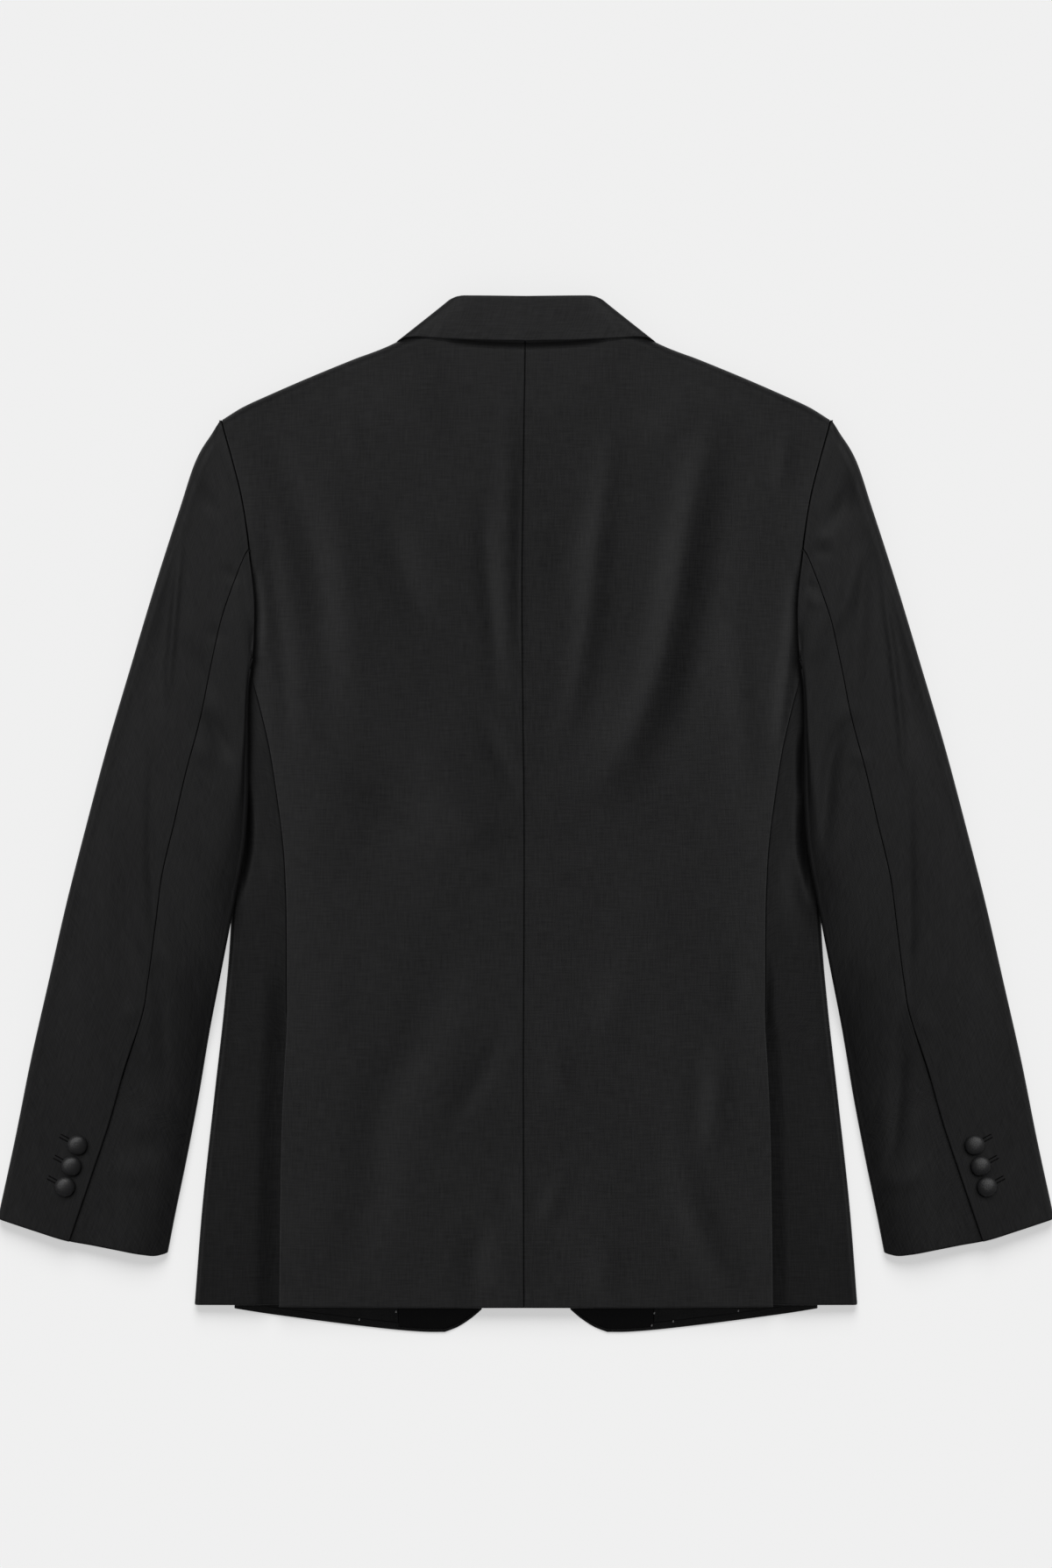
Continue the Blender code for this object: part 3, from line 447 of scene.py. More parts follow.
def cloth_shell(name, grid, wall, outward, outer, inner, turns=()):
    """A closed wall of cloth: the outer sheet, the same moved in by the wall, and a rounded rim between."""
    grid = sewn(grid, outward, turns)
    rows, columns = grid.shape[:2]
    normal = face_of(grid)
    agrees = normal[rows // 2, 2] @ outward > 0
    inside = grid - normal * (wall if agrees else -wall)
    number = np.arange(rows * columns).reshape(rows, columns)
    border = np.concatenate([number[0, :-1], number[:-1, -1], number[-1, :0:-1], number[:0:-1, 0]])
    second = np.concatenate([number[1, :-1], number[:-1, -2], number[-2, :0:-1], number[:0:-1, 1]])
    face, back = grid.reshape(-1, 3), inside.reshape(-1, 3)
    rim = (face[border] + back[border]) / 2 + unit(face[border] - face[second]) * wall * RIM_BULGE
    points = np.concatenate([face, back, rim])
    quads = [number[:-1, :-1], number[:-1, 1:], number[1:, 1:], number[1:, :-1]]
    quads = np.stack(quads, axis=-1).reshape(-1, 4)
    after = np.roll(np.arange(len(border)), -1)
    ring = 2 * rows * columns + np.arange(len(border))
    lower = border + rows * columns
    outer_rim = np.stack([border[after], border, ring, ring[after]], axis=-1)
    inner_rim = np.stack([ring[after], ring, lower, lower[after]], axis=-1)
    faces = np.concatenate([quads, quads[:, ::-1] + rows * columns, outer_rim, inner_rim])
    if not agrees:
        faces = faces[:, ::-1]
    distance = cloth_distances(grid)
    threads = np.dstack([distance["left"] - distance["left"].mean(), distance["bottom"]]).reshape(-1, 2)
    threads = np.concatenate([threads, threads, threads[border]])
    panel = smooth_piece(name, points, faces.tolist(), (outer, inner), threads)
    lined = np.zeros(len(faces), int)
    lined[len(quads):2 * len(quads)] = 1
    panel.data.polygons.foreach_set("material_index", lined)
    return panel


def add_node(finish, kind, inputs, **choices):
    """The outputs of a new node, with its choices made and its inputs set."""
    node = finish.node_tree.nodes.new("ShaderNode" + kind)
    for choice, value in choices.items():
        setattr(node, choice, value)
    return look(finish, inputs, node)


def between(finish, share, deep, raised):
    """A colour between two others, by a share."""
    inputs = {"Factor": share, "A": (*deep, 1.0), "B": (*raised, 1.0)}
    return add_node(finish, "Mix", inputs, data_type="RGBA")["Result"]


def woven(name, deep, raised, roughness, gloss, nap, pitch):
    """Cloth: diagonal twill lines, uneven threads both ways and faint clouding, in colour and in relief."""
    finish = new_finish(name, {"Roughness": roughness, "Specular IOR Level": gloss})
    look(finish, {"Sheen Weight": nap, "Sheen Roughness": 0.45})
    threads = add_node(finish, "UVMap", {}, uv_map="threads")["UV"]

    def uneven(across, up, detail):
        scale = (1 / (across * MM), 1 / (up * MM), 1.0)
        place = add_node(finish, "Mapping", {"Vector": threads, "Scale": scale})["Vector"]
        return add_node(finish, "TexNoise", {"Vector": place, "Scale": 1.0, "Detail": detail})["Fac"]

    def sum_of(first, second, share):
        return add_node(finish, "Math", {0: second, 1: share, 2: first}, operation="MULTIPLY_ADD")["Value"]

    place = add_node(finish, "SeparateXYZ", {"Vector": threads})
    turns = {0: sum_of(place["X"], place["Y"], 1.0), 1: 2 * math.pi / (pitch * MM)}
    turns = add_node(finish, "Math", turns, operation="MULTIPLY")["Value"]
    twill = add_node(finish, "Math", {0: turns}, operation="SINE")["Value"]
    both_ways = sum_of(uneven(1.1, 16.0, 2.0), uneven(16.0, 1.1, 2.0), 1.0)
    shade = sum_of(sum_of(both_ways, twill, 0.06), uneven(70.0, 90.0, 3.0), 0.5)
    share = add_node(finish, "MapRange", {"Value": shade, "From Min": 0.8, "From Max": 1.7})["Result"]
    bumps = {"Height": sum_of(both_ways, twill, 0.25), "Strength": 0.35, "Distance": 0.12 * MM}
    bumps = add_node(finish, "Bump", bumps)["Normal"]
    look(finish, {"Base Color": between(finish, share, deep, raised), "Normal": bumps})
    return finish


worsted, lining = woven(*WORSTED), woven(*BLACK_LINING)
y = np.linspace(*ALLOWANCE_ENDS, 240)[:, None]
x = column(CENTRE_BACK, y) + ALLOWANCE_WIDTH * np.linspace(-0.5, 0.5, 11)
y = np.broadcast_to(y, x.shape)
grid = np.dstack((x, y, body_top(x, y) - CLOTH_WALL - ALLOWANCE_GAP))
allowance = cloth_shell("centre_back_allowance", grid, ALLOWANCE_WALL, UP, worsted, worsted)
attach(allowance, "root")
for side, word in SIDES:
    across, up = stops(205, 2.4), stops(740, 3.2, near_end=FOLD_STOPS)
    top, outer = BACK_NECK + SHOULDER[1:], SIDE_SEAM + BACK_ARMHOLE[-2::-1]
    plan = patch(BACK_HEM, top, BACK_MIDDLE, outer, across, up)
    plan[..., 0] += SEAM_GAP / 2 * (1 - 2 * across)
    x, y = plan[..., 0], plan[..., 1]
    x = side * x + column(CENTRE_BACK, y) * np.clip(1 - x / STRAY_REACH, 0, 1)
    z = np.maximum(body_top(x, y), column(BODY_HEIGHT, y, 2) + SHOULDER_GAP / 2)
    grid = np.dstack((x, y, z))
    back = cloth_shell(f"back_cloth_{word}", grid, CLOTH_WALL, UP, worsted, lining, BACK_TURNS)
    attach(back, "root")
    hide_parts(f"back_{word}")

# ---------------- the side panels
# A narrow panel of the same worsted runs from the back's seam round the side fold to the front's seam
# underneath. Below the waist its edge lies loose under the back's, which makes the side vent.
HIDDEN_SEAM_GAP = 1.0
SIDE_BOTTOM = -373.2
SIDE_LENGTH = 482.9
SIDE_UNDERLAP = 30.0
SIDE_TURNS = (("left", 0.9, 0.6, 0.06), ("right", 1.2, 0.3, 0.0), ("bottom", 1.6, 0.9, 0.04))
# The vent below its top: how far the panel laps under the back, fading out inwards, and how far it dips.
SIDE_VENT_TOP = -152.0
VENT_LAP = 18.0
LAP_FADE = 11.0
VENT_DIP = 3.0
# Below the vent's top: run over which the lap grows; start above it and run over which the dip does.
LAP_RUN = 22.0
DIP_RUN = (50, 55)

for side, word in SIDES:
    y = (SIDE_BOTTOM + SIDE_LENGTH * stops(SIDE_LENGTH, 3.4))[:, None]
    seam = along(SIDE_SEAM, np.linspace(0, 1, 400))
    start = np.interp(y, seam[:, 1], seam[:, 0]) + SEAM_GAP / 2
    radius = column(BODY_HEIGHT, y, 2)
    turn_x = column(BODY_EDGE, y) - radius
    lap = VENT_LAP * ease((SIDE_VENT_TOP - y) / LAP_RUN)
    offset = stops(60, 2.4, near_end=(0, 1.5)) * (turn_x - start)
    over = start + offset - lap * np.clip(1 - offset / LAP_FADE, 0, 1)
    angle = np.radians(np.linspace(90, -90, 25))[None, 1:]
    fold = turn_x + radius * np.cos(angle)
    under = turn_x + (radius - SIDE_UNDERLAP + HIDDEN_SEAM_GAP / 2) * np.linspace(0, 1, 12)[1:]
    x = np.concatenate([over, fold, under], axis=1)
    y = np.broadcast_to(y, x.shape)
    sunk = ease((SIDE_VENT_TOP + DIP_RUN[0] - y) / DIP_RUN[1])
    dip = VENT_DIP * sunk * (1 - ease((x - start - 0.5) / (12 - 6 * side)))
    z = body_top(side * x, y) - dip
    first, last = over.shape[1], over.shape[1] + fold.shape[1]
    z[:, first:last] = np.where(angle < 0, radius * (1 + np.sin(angle)), z[:, first:last])
    z[:, last:] = 0
    grid = np.dstack((side * x, y, z))
    panel = cloth_shell(f"side_cloth_{word}", grid, CLOTH_WALL, UP, worsted, lining, SIDE_TURNS)
    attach(panel, "root")
    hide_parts(f"side_panel_{word}")

# ---------------- the sleeves
# Two-piece sleeves lie flattened beside the body. The wide top sleeve turns round the outer fold, and the
# narrow under sleeve round the inner one. Their elbow seam ends in a cuff vent under three buttons.
LAYER_GAP = 1.0
INNER_FOLD = 3.2
FOREARM_SEAM_INSET = 25.0
ELBOW_GAP = 0.2
ARMHOLE_GAP = 0.55
ARMHOLE_LAP = 1.8
ARMHOLE_RISE = 3.6
CUFF_VENT_TOP = -200.0
CUFF_LAP_RUN = 18.0
CUFF_DIP_RUN = (55, 50)
CUFF_SHARE = 0.8
SLEEVE_FADES = (18, 14)
LEAST_WIDTH = 60.0
SLEEVE_TURNS = (("left", 0.8, 0.5, 0.05), ("bottom", 1.1, 0.7, 0.08), ("top", 1.6, 0.9, 0.04))
# Where the sleeve lies on the body: the armpit, the body's last place with full height, how the sleeve's
# underside comes down beyond the body's edge (start, run), and how it ends above and below (start, run).
ARMPIT = 110.0
BODY_END = 222.0
LIFT_SIDE = (5, 28)
LIFT_TOP = (166, 36)
LIFT_FOOT = (-185, 80)

# Front armhole, underneath, from the sleeve head to the armpit: x, y.
FRONT_ARMHOLE = (
    (231.5, 300.7), (221.5, 276), (211, 240), (204.5, 205), (203.5, 175), (206.5, 148), (208.4, 128),
    (210, 110),
)
# Stations from the armhole to the cuff: outer x, y; inner x, y; crown height; outer fold radius.
SLEEVE = (
    (231.5, 300.7, 210, 110, 21.2, 8),
    (250, 273, 211, 80, 21.8, 7.8),
    (263.7, 233.3, 211, 45, 22.4, 7.4),
    (283, 173.3, 211.5, 5, 22.6, 7),
    (301, 113.3, 214.5, -30, 22, 6.6),
    (318.7, 53.3, 222.5, -72, 21, 6.2),
    (334.7, -6.7, 231.5, -118, 19, 5.8),
    (350, -66.7, 241, -165, 17, 5.4),
    (363.7, -126.7, 249.5, -215, 15.5, 5),
    (377.3, -186.7, 258.5, -262, 14, 4.8),
    (389.3, -246.7, 267, -303, 13, 4.6),
    (402.5, -307.5, 273, -333.5, 12, 4.4),
)
# Elbow seam from above the armhole to the cuff: x, y.
ELBOW_SEAM = (
    (200, 225), (210, 203), (215.3, 193.3), (230, 153.3), (239.3, 113.3), (247.3, 73.3), (258, 33.3),
    (267.3, -6.7), (276.7, -46.7), (282, -86.7), (287.3, -126.7), (292, -153.3), (305.3, -193.3),
    (316.7, -233.3), (330, -273.3), (349.5, -330),
)
# How far the cuff's hem drops below the straight line between its corners: share of the width, drop.
CUFF_DROP = ((0, 0), (0.2, 3.3), (0.42, 6.2), (0.55, 5.8), (0.7, 5.6), (0.85, 5.3), (0.93, 4.2), (1, 0.4))
# Folds, as on the back.
SLEEVE_FOLDS = (
    (2.2, 2, -261, 227, -265, 180, -269, 133, -273, 87),
    (7, -1.6, -268, 222, -273, 175, -278, 125, -283, 75),
    (3, -1.4, -283, 47, -285, 13, -285, -27, -283, -73, -279, -107),
    (6, -0.9, -307, -20, -305, -87, -303, -140),
    (4, -1.1, -282, -113, -277, -153, -275, -213),
    (4.5, -1.8, -242, 77, -233, 60, -225, 43),
    (6, 1, -250, 57, -241, 40),
    (5, -1, -257, 133, -248, 110, -239, 90),
    (4, -1, -248, 253, -243, 239, -236, 230),
    (3, -0.7, -229, 187, -220, 179),
    (3, -0.5, -241, 139, -233, 135),
    (7, -1.3, -293, -247, -280, -257),
    (6, 0.8, -307, -267, -293, -277),
    (4, 0.5, -303, -153, -297, -147),
    (2.2, 2, 269, 213, 274, 160, 280, 113, 285, 67, 287, 33),
    (7, -1.6, 276, 205, 283, 150, 290, 100, 295, 50),
    (3, -1.5, 291, 33, 291, -20, 292, -80, 291, -140),
    (5, -2.2, 249, 260, 244, 240, 230, 219),
    (4.5, 1.6, 255, 203, 244, 167, 230, 137, 219, 119),
    (4.5, -1.7, 260, 217, 257, 187, 253, 140, 250, 100, 245, 79),
    (4.5, -2.4, 249, 72, 238, 61, 231, 40, 228, 7, 225, -30),
    (4, 0.8, 259, 41, 250, 45),
    (2.5, 0.7, 220, 209, 232, 212),
    (2.5, -0.7, 220, 199, 232, 200),
    (3, 0.7, 215, 163, 223, 160),
    (2.5, -0.6, 213, 175, 221, 172),
    (4, -2.2, 291, -150, 286, -170, 284, -207, 281, -247, 275, -270),
    (5, 1.1, 270, -280, 287, -280, 300, -267),
    (5, 0.6, 300, -157, 307, -162),
)
# How softly the inner fold's top turns, from the armhole to the cuff: station, mm.
INNER_SOFTNESS = ((0, 2.2), (3, 2.5), (3.8, 7), (5, 12), (11, 15))


def sleeve_lift(x, y):
    """Height of the sleeve's underside: over the body's side where it lies on it, and down beyond it."""
    away, low = np.abs(x), np.minimum(y, ARMPIT)
    beside = 1 - ease((away - column(BODY_EDGE, low) - LIFT_SIDE[0]) / LIFT_SIDE[1])
    body, _ = body_form(np.minimum(away, BODY_END) * np.sign(x), low)
    ends = ease((LIFT_TOP[0] - y) / LIFT_TOP[1]) * ease((y - LIFT_FOOT[0]) / LIFT_FOOT[1])
    return (body + LAYER_GAP) * beside * ends


def bow_of(table, shares):
    """How far an armhole bends off the straight line between its ends, at shares along that line."""
    line = along(table, np.linspace(0, 1, 300))
    chord = line[-1] - line[0]
    share = (line - line[0]) @ chord / (chord @ chord)
    off = line - line[0] - share[:, None] * chord
    return np.stack([np.interp(shares, share, off[:, k]) for k in range(2)], axis=-1)


def sleeve_plan(number, shares, upper):
    """Flat places of a sleeve at station numbers: shares from outer to inner edge, bowed at both ends."""
    station = spline(SLEEVE, number)
    outer, inner = station[:, None, 0:2], station[:, None, 2:4]
    row = number[:, None]
    plan = outer + (inner - outer) * shares[..., None]
    bow = np.where(upper[:, None], bow_of(BACK_ARMHOLE, shares), bow_of(FRONT_ARMHOLE, shares))
    plan += bow * (np.clip(1 - row / 4, 0, 1) ** 2)[..., None]
    lap = ARMHOLE_LAP * np.where(upper, ease((shares - 0.5) / 0.25), ease((shares - 0.93) / 0.07))
    plan[..., 0] += (ARMHOLE_GAP - lap) * (1 - ease(row / 0.6))
    plan[..., 1] -= column(CUFF_DROP, shares) * ease((row - 9.5) / 1.5)
    return plan


def sleeve_measures(number):
    """Crown, outer fold radius, and width square to the outer and to the inner edge, at station numbers."""
    station = spline(SLEEVE, number)
    reach = station[:, 2:4] - station[:, 0:2]
    widths = []
    for line in (station[:, 0:2], station[:, 2:4]):
        way = unit(np.gradient(line, number, axis=0))
        widths.append(np.maximum(np.abs(reach[:, 0] * way[:, 1] - reach[:, 1] * way[:, 0]), LEAST_WIDTH))
    return station[:, 4], station[:, 5], widths[0], widths[1]


def elbow_share(number):
    """Where the elbow seam crosses each station, as a share from the outer to the inner edge."""
    count = 400
    shares = np.tile(np.linspace(0, 1, count), (len(number), 1))
    plan = sleeve_plan(number, shares, np.full(count, True))
    seam = along(ELBOW_SEAM, np.linspace(0, 1, count))[::-1]
    beside = plan[..., 0] - np.interp(plan[..., 1], seam[:, 1], seam[:, 0])
    first = np.argmax(beside < 0, axis=1)
    rows = np.arange(len(number))
    before, after = beside[rows, first - 1], beside[rows, first]
    return (first - 1 + before / (before - after)) / (count - 1)


def sleeve_grid(side, number, shares, upper, dip=0):
    """A sleeve's outer face: round folds at both edges, a gentle swell between, and what lies under it below."""
    crown, radius, outer_width, inner_width = (m[:, None] for m in sleeve_measures(number))
    plan = sleeve_plan(number, shares, upper)
    x, y = side * plan[..., 0], plan[..., 1]
    from_outer, from_inner = shares * outer_width, (1 - shares) * inner_width
    inner_edge = sleeve_plan(number, np.ones_like(shares), upper)
    inner_middle = sleeve_lift(side * inner_edge[..., 0], inner_edge[..., 1]) + INNER_FOLD
    outer_top = radius + edge_rise(from_outer, radius) + (crown - 2 * radius) * swell(from_outer - radius)
    inner_top = inner_middle + edge_rise(from_inner, INNER_FOLD)
    steep = 1 - np.exp(-np.maximum(from_inner - INNER_FOLD, 0) / column(INNER_SOFTNESS, number)[:, None])
    inner_top += np.maximum(crown - inner_middle - INNER_FOLD, 1) * steep
    fade = ease(from_outer / SLEEVE_FADES[0]) * ease(from_inner / SLEEVE_FADES[1])
    top = lesser(outer_top, inner_top, 1.5) + relief(SLEEVE_FOLDS, x, y) * fade
    row = number[:, None]
    flush = (1 - ease(row / 0.5)) * (1 - ease((shares - 0.82) / 0.1))
    level = np.maximum(body_form(x, y)[0], radius) + 0.2 + ARMHOLE_RISE * ease((shares - 0.25) / 0.5)
    top = top + (level - top) * flush
    inner_bottom = inner_middle - edge_rise(from_inner, INNER_FOLD)
    bottom = np.maximum(radius - edge_rise(from_outer, radius), sleeve_lift(x, y))
    bottom = np.where(from_inner < INNER_FOLD, np.maximum(inner_bottom, bottom), bottom)
    return np.dstack((x, y, np.where(upper, top - dip, bottom)))


def round_fold(over, fold, last, count):
    """Shares along a sleeve's section: over the top, round the fold and back below; and which are above."""
    below = fold[:, :1] + (last[:, None] - fold[:, :1]) * np.linspace(0, 1, count)[1:]
    shares = np.concatenate([over, fold, fold[:, -2::-1], below], axis=1)
    return shares, np.arange(shares.shape[1]) < over.shape[1] + fold.shape[1]


for side, word in SIDES:
    number = (len(SLEEVE) - 1) * stops(640, 3.4)
    _, radius, outer_width, inner_width = sleeve_measures(number)
    elbow = elbow_share(number)
    forearm = np.clip(1 - FOREARM_SEAM_INSET / inner_width, 0.7, 0.85)
    hidden_gap = HIDDEN_SEAM_GAP / 2 / inner_width * (1 + 2.5 * ease(1 - number / 1.5))
    quarter = 1 - np.cos(np.radians(np.linspace(90, 0, 9)))
    top_stops = stops(95, 2.5, near_end=(0, 1.5))[:-1]
    fold = (radius / outer_width)[:, None] * quarter
    first = (elbow - ELBOW_GAP / outer_width)[:, None]
    over = first + (fold[:, :1] - first) * top_stops
    top_grid = sleeve_grid(side, number, *round_fold(over, fold, forearm - hidden_gap, 30))

    seam_y = sleeve_plan(number, elbow[:, None], np.array([True]))[:, :, 1]
    lap = VENT_LAP * CUFF_SHARE * ease((CUFF_VENT_TOP - seam_y) / CUFF_LAP_RUN)
    sunk = ease((CUFF_VENT_TOP + CUFF_DIP_RUN[0] - seam_y) / CUFF_DIP_RUN[1])
    elbow, outer_width = elbow[:, None], outer_width[:, None]
    fold = 1 - (INNER_FOLD / inner_width)[:, None] * quarter
    offset = ELBOW_GAP + ((fold[:, :1] - elbow) * outer_width - ELBOW_GAP) * top_stops
    over = elbow + (offset - lap * np.clip(1 - offset / LAP_FADE, 0, 1)) / outer_width
    shares, upper = round_fold(over, fold, forearm + hidden_gap, 10)
    dip = CUFF_SHARE * VENT_DIP * sunk * (1 - ease(((shares - elbow) * outer_width - 8) / 50))
    under_grid = sleeve_grid(side, number, shares, upper, dip)

    pieces = (("top", top_grid, (0.27, 0.69), 0.118), ("under", under_grid, (0.174, 0.60), 0.057))
    for layer, grid, flat, area in pieces:
        name = f"{layer}_sleeve_cloth_{word}"
        sleeve = cloth_shell(name, grid, CLOTH_WALL, UP, worsted, lining, SLEEVE_TURNS)
        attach(sleeve, "root")
        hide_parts(f"{layer}_sleeve_{word}")

# ---------------- the fronts
# Each front is cut away to a round corner and runs from the hem to the shoulder, face down. Near its hem,
# which hangs lower than the back's, the facing of worsted and the lining show on its inside. The facing is
# coloured far darker than the worsted, as painted shade for the shadow that the back's hem casts on it.
LAPEL_LIFT = 2.6
BUTTON_LIFT = 4.2
LINING_WALL = 0.8
STRIP_TOP = -335.0
STRIP_START = 36.5
FACING_EDGE = 97.0
STRIP_END = 206.0
STRIP_GAP = 0.2
STRIP_RISE = CLOTH_WALL + STRIP_GAP + LINING_WALL
FRONT_TURNS = (("left", 1.4, 0.4, 0.0), ("bottom", 1.4, 0.3, 0.0))
STRIP_TURNS = (("bottom", 1.2, 0.5, 0.05), ("left", 1, 0.4, 0.04))
FRONT_BUTTON = (0, -66)
DOWN = np.array((0, 0, -1))
# The facing's deep and raised colours are painted shade: far darker than the worsted, for the back hem's shadow.
FACING = ("black_facing", (0.0006, 0.0006, 0.0007), (0.0012, 0.0012, 0.0013), 0.60, 0.04, 0.0, 0.9)

# Edge of the front from the hem, round its corner, up to the lapel's break; then its roll and neck: x, y.
FRONT_EDGE = (
    (62, -394.4), (52, -390.5), (43, -384.8), (37, -380), (33.3, -375.3), (27, -345), (14, -270),
    (2, -190), (-8, -120), (-12, -75), (-9, -48),
)
FRONT_ROLL = ((-9, -48), (2, 10), (12, 70), (23.5, 140), (34.5, 205), (42, 250), (50, 276))
FRONT_NECK = ((58.3, 302), (66, 327), (72.5, 348), (75.6, 359), (76, 367.3))
FRONT_HEM = (
    (62, -394.4), (78.7, -394.2), (105.3, -392), (145.3, -387.3), (185.3, -382), (205, -379.2), (222, -376.4),
)
# How far out the lapel and the collar leaf reach under the front: y, x.
UNDER_FRONT = (
    (-60, 6), (2, 32), (55, 58), (118, 84), (180, 106), (232, 120), (267, 126), (300, 116), (370, 112),
)


def front_bottom(x, y, over):
    """Height of the front's outer face: over the lapel, button and other front, and up at the shoulder."""
    away = np.abs(x)
    lapel = ease((column(UNDER_FRONT, y) + 36 - away) / 24) * ease((y + 100) / 40)
    button = ease((70 - np.hypot(x - FRONT_BUTTON[0], 0.7 * (y - FRONT_BUTTON[1]))) / 40)
    lapped = ease((52 - away) / 36) * ease((y + 260) / 60) * ease((80 - y) / 60)
    lift = np.maximum(LAPEL_LIFT * lapel, BUTTON_LIFT * button) + over * 2.5 * lapped
    radius = column(BODY_HEIGHT, y, 2)
    bend = 1 - edge_rise(line_distance(SHOULDER, away, y), radius) / radius
    return lift + (radius - 0.75 - lift) * bend


facing_painted_shade_finish = woven(*FACING)
for side, word in SIDES:
    over = side > 0
    heights = np.linspace(-376.4, 109.7, 30)
    seam_x = column(BODY_EDGE, heights) - SIDE_UNDERLAP - HIDDEN_SEAM_GAP / 2
    outer = tuple(zip(seam_x.tolist(), heights.tolist())) + FRONT_ARMHOLE[-2::-1]
    inner = FRONT_EDGE + FRONT_ROLL[1:] + FRONT_NECK
    across = stops(200, 4)
    plan = patch(FRONT_HEM, SHOULDER, inner, outer, across, stops(760, 4.5, near_end=FOLD_STOPS))
    plan[..., 0] -= SEAM_GAP * across * ease((plan[..., 1] - 100) / 10)
    x, y = side * plan[..., 0], plan[..., 1]
    grid = np.dstack((x, y, front_bottom(x, y, over)))
    front = cloth_shell(f"front_cloth_{word}", grid, CLOTH_WALL, DOWN, worsted, lining, FRONT_TURNS)
    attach(front, "root")
    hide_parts(f"front_{word}")

    outline = [along(line, np.linspace(0, 1, 200)) for line in (FRONT_EDGE[5::-1], FRONT_HEM)]
    outline = np.vstack(outline)[np.argsort(np.vstack(outline)[:, 0])]
    middle = (FACING_EDGE - SEAM_GAP / 2, FACING_EDGE + SEAM_GAP / 2)
    strips = (
        ("facing", STRIP_START, middle[0], 2.5, facing_painted_shade_finish, "black_wool", (0.07, 0.068), 0.0045),
        ("lining", middle[1], STRIP_END, 5.5, lining, "black_lining", (0.12, 0.06), 0.0066),
    )
    for part_name, start, end, margin, finish, slot, flat, area in strips:
        x = start + (end - start) * stops(end - start, 2.5)
        low = np.interp(x, outline[:, 0], outline[:, 1]) + margin
        y = low + stops(50, 2.5)[:, None] * (STRIP_TOP - low)
        x = np.tile(x, (len(y), 1))
        grid = np.dstack((side * x, y, front_bottom(side * x, y, over) + STRIP_RISE))
        name = f"front_{part_name}_cloth_{word}"
        strip = cloth_shell(name, grid, LINING_WALL, UP, finish, finish, STRIP_TURNS)
        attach(strip, "root")
        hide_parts(f"front_{part_name}_{word}")

# ---------------- the lapels
# Satin lapels are folded out under the fronts along the roll line and pressed flat on the floor. Only the
# underside of the jacket shows them.
COLLAR_WALL = 1.3
LAPEL_TURN = 1.8
# From the break up to the gorge: roll line x, y; outer edge x, y.
LAPEL = (
    (1.6, 8, 4.6, 6), (4, 24, 30, 2), (12, 70, 56, 55), (23.5, 140, 82, 118), (34.5, 205, 104, 180),
    (42, 250, 118, 232), (46.2, 274.2, 124, 267),
)
SATIN = ("black_satin", (0.0070, 0.0070, 0.0076), (0.0120, 0.0120, 0.0128), 0.36, 0.28, 0.0, 0.35)
satin = woven(*SATIN)
for side, word in SIDES:
    rows = spline(LAPEL, np.linspace(0, len(LAPEL) - 1, 120))
    roll, edge = rows[:, None, 0:2], rows[:, None, 2:4]
    share = stops(70, 3)[None, :, None]
    plan = roll + (edge - roll) * share
    inset = np.linalg.norm(edge - roll, axis=2) * share[..., 0]
    grid = np.dstack([side * plan[..., 0], plan[..., 1], LAPEL_TURN - edge_rise(inset, LAPEL_TURN)])
    lapel = cloth_shell(f"lapel_cloth_{word}", grid, COLLAR_WALL, DOWN, satin, worsted)
    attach(lapel, "root")
    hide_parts(f"lapel_{word}")

# ---------------- the collar
# The collar's fall lies on the back's neck, rolls over its top edge to the stand inside, and both wrap
# round the neck's side folds to the gorge underneath.
ROLL_RADIUS = 2.4
COLLAR_TURNS = (("left", 1.0, 0.55, 0.05),)
# The fall's edge springs clear of the back: least gap, more in the middle, and how wide that middle is.
SPRING = (0.4, 1.6, 52)
# From the centre back over the side fold to the gorge: roll line x, y, z; outer edge x, y, z; seam x, y.
COLLAR = (
    (0, 394, 24, 0, 360, 24.4, 0, 364.4),
    (22, 394.2, 24, 26, 360.5, 24.2, 24, 364.8),
    (40, 394.4, 23.2, 50, 361.4, 23.4, 46, 365),
    (50, 394.6, 21, 70, 362.6, 22, 60, 365),
    (55.5, 393.6, 17.5, 85, 363.6, 19, 68, 364.9),
    (58.3, 391.9, 14, 93.5, 363, 15, 73, 367),
    (59.5, 390.5, 10.5, 97.3, 361.2, 11, 76, 367.3),
    (59.3, 389.3, 7, 99.6, 359.4, 6.5, 76.4, 364.8),
    (58.3, 386.5, 3.2, 101.4, 356, 2.6, 76, 362.5),
    (57.3, 377, 0, 103.4, 348.5, 0, 74.8, 355),
    (55, 350, 0, 107, 321, 0, 70.7, 341),
    (50.5, 312, 0, 107, 295, 0, 59.2, 309.2),
    (46, 277.2, 0, 100, 272.6, 0, 51, 279),
)


def collar_frame(end):
    """Collar stations out to both ends: roll, edge and seam, the way across and the way out of the cloth."""
    half = spline(COLLAR, np.linspace(0, end, 95))
    whole = np.vstack([half[:0:-1] * np.array((-1, 1, 1, -1, 1, 1, -1, 1)), half])
    roll, edge, seam = whole[:, 0:3].copy(), whole[:, 3:6].copy(), whole[:, 6:8]
    roll[:, 2] = np.maximum(roll[:, 2], 0)
    away = np.abs(edge[:, 0])
    near = body_form(edge[:, 0], edge[:, 1])[0] + COLLAR_WALL + SPRING[0]
    near += SPRING[1] * np.exp(-((away / SPRING[2]) ** 2))
    edge[:, 2] = np.maximum(edge[:, 2] + (near - edge[:, 2]) * ease((97 - away) / 26) * (edge[:, 1] > 352), 0)
    across = unit(edge - roll)
    normal = unit(np.cross(across, np.gradient((roll + edge) / 2, axis=0)))
    return roll, edge, seam, across, normal * np.sign(normal[len(whole) // 2, 2])


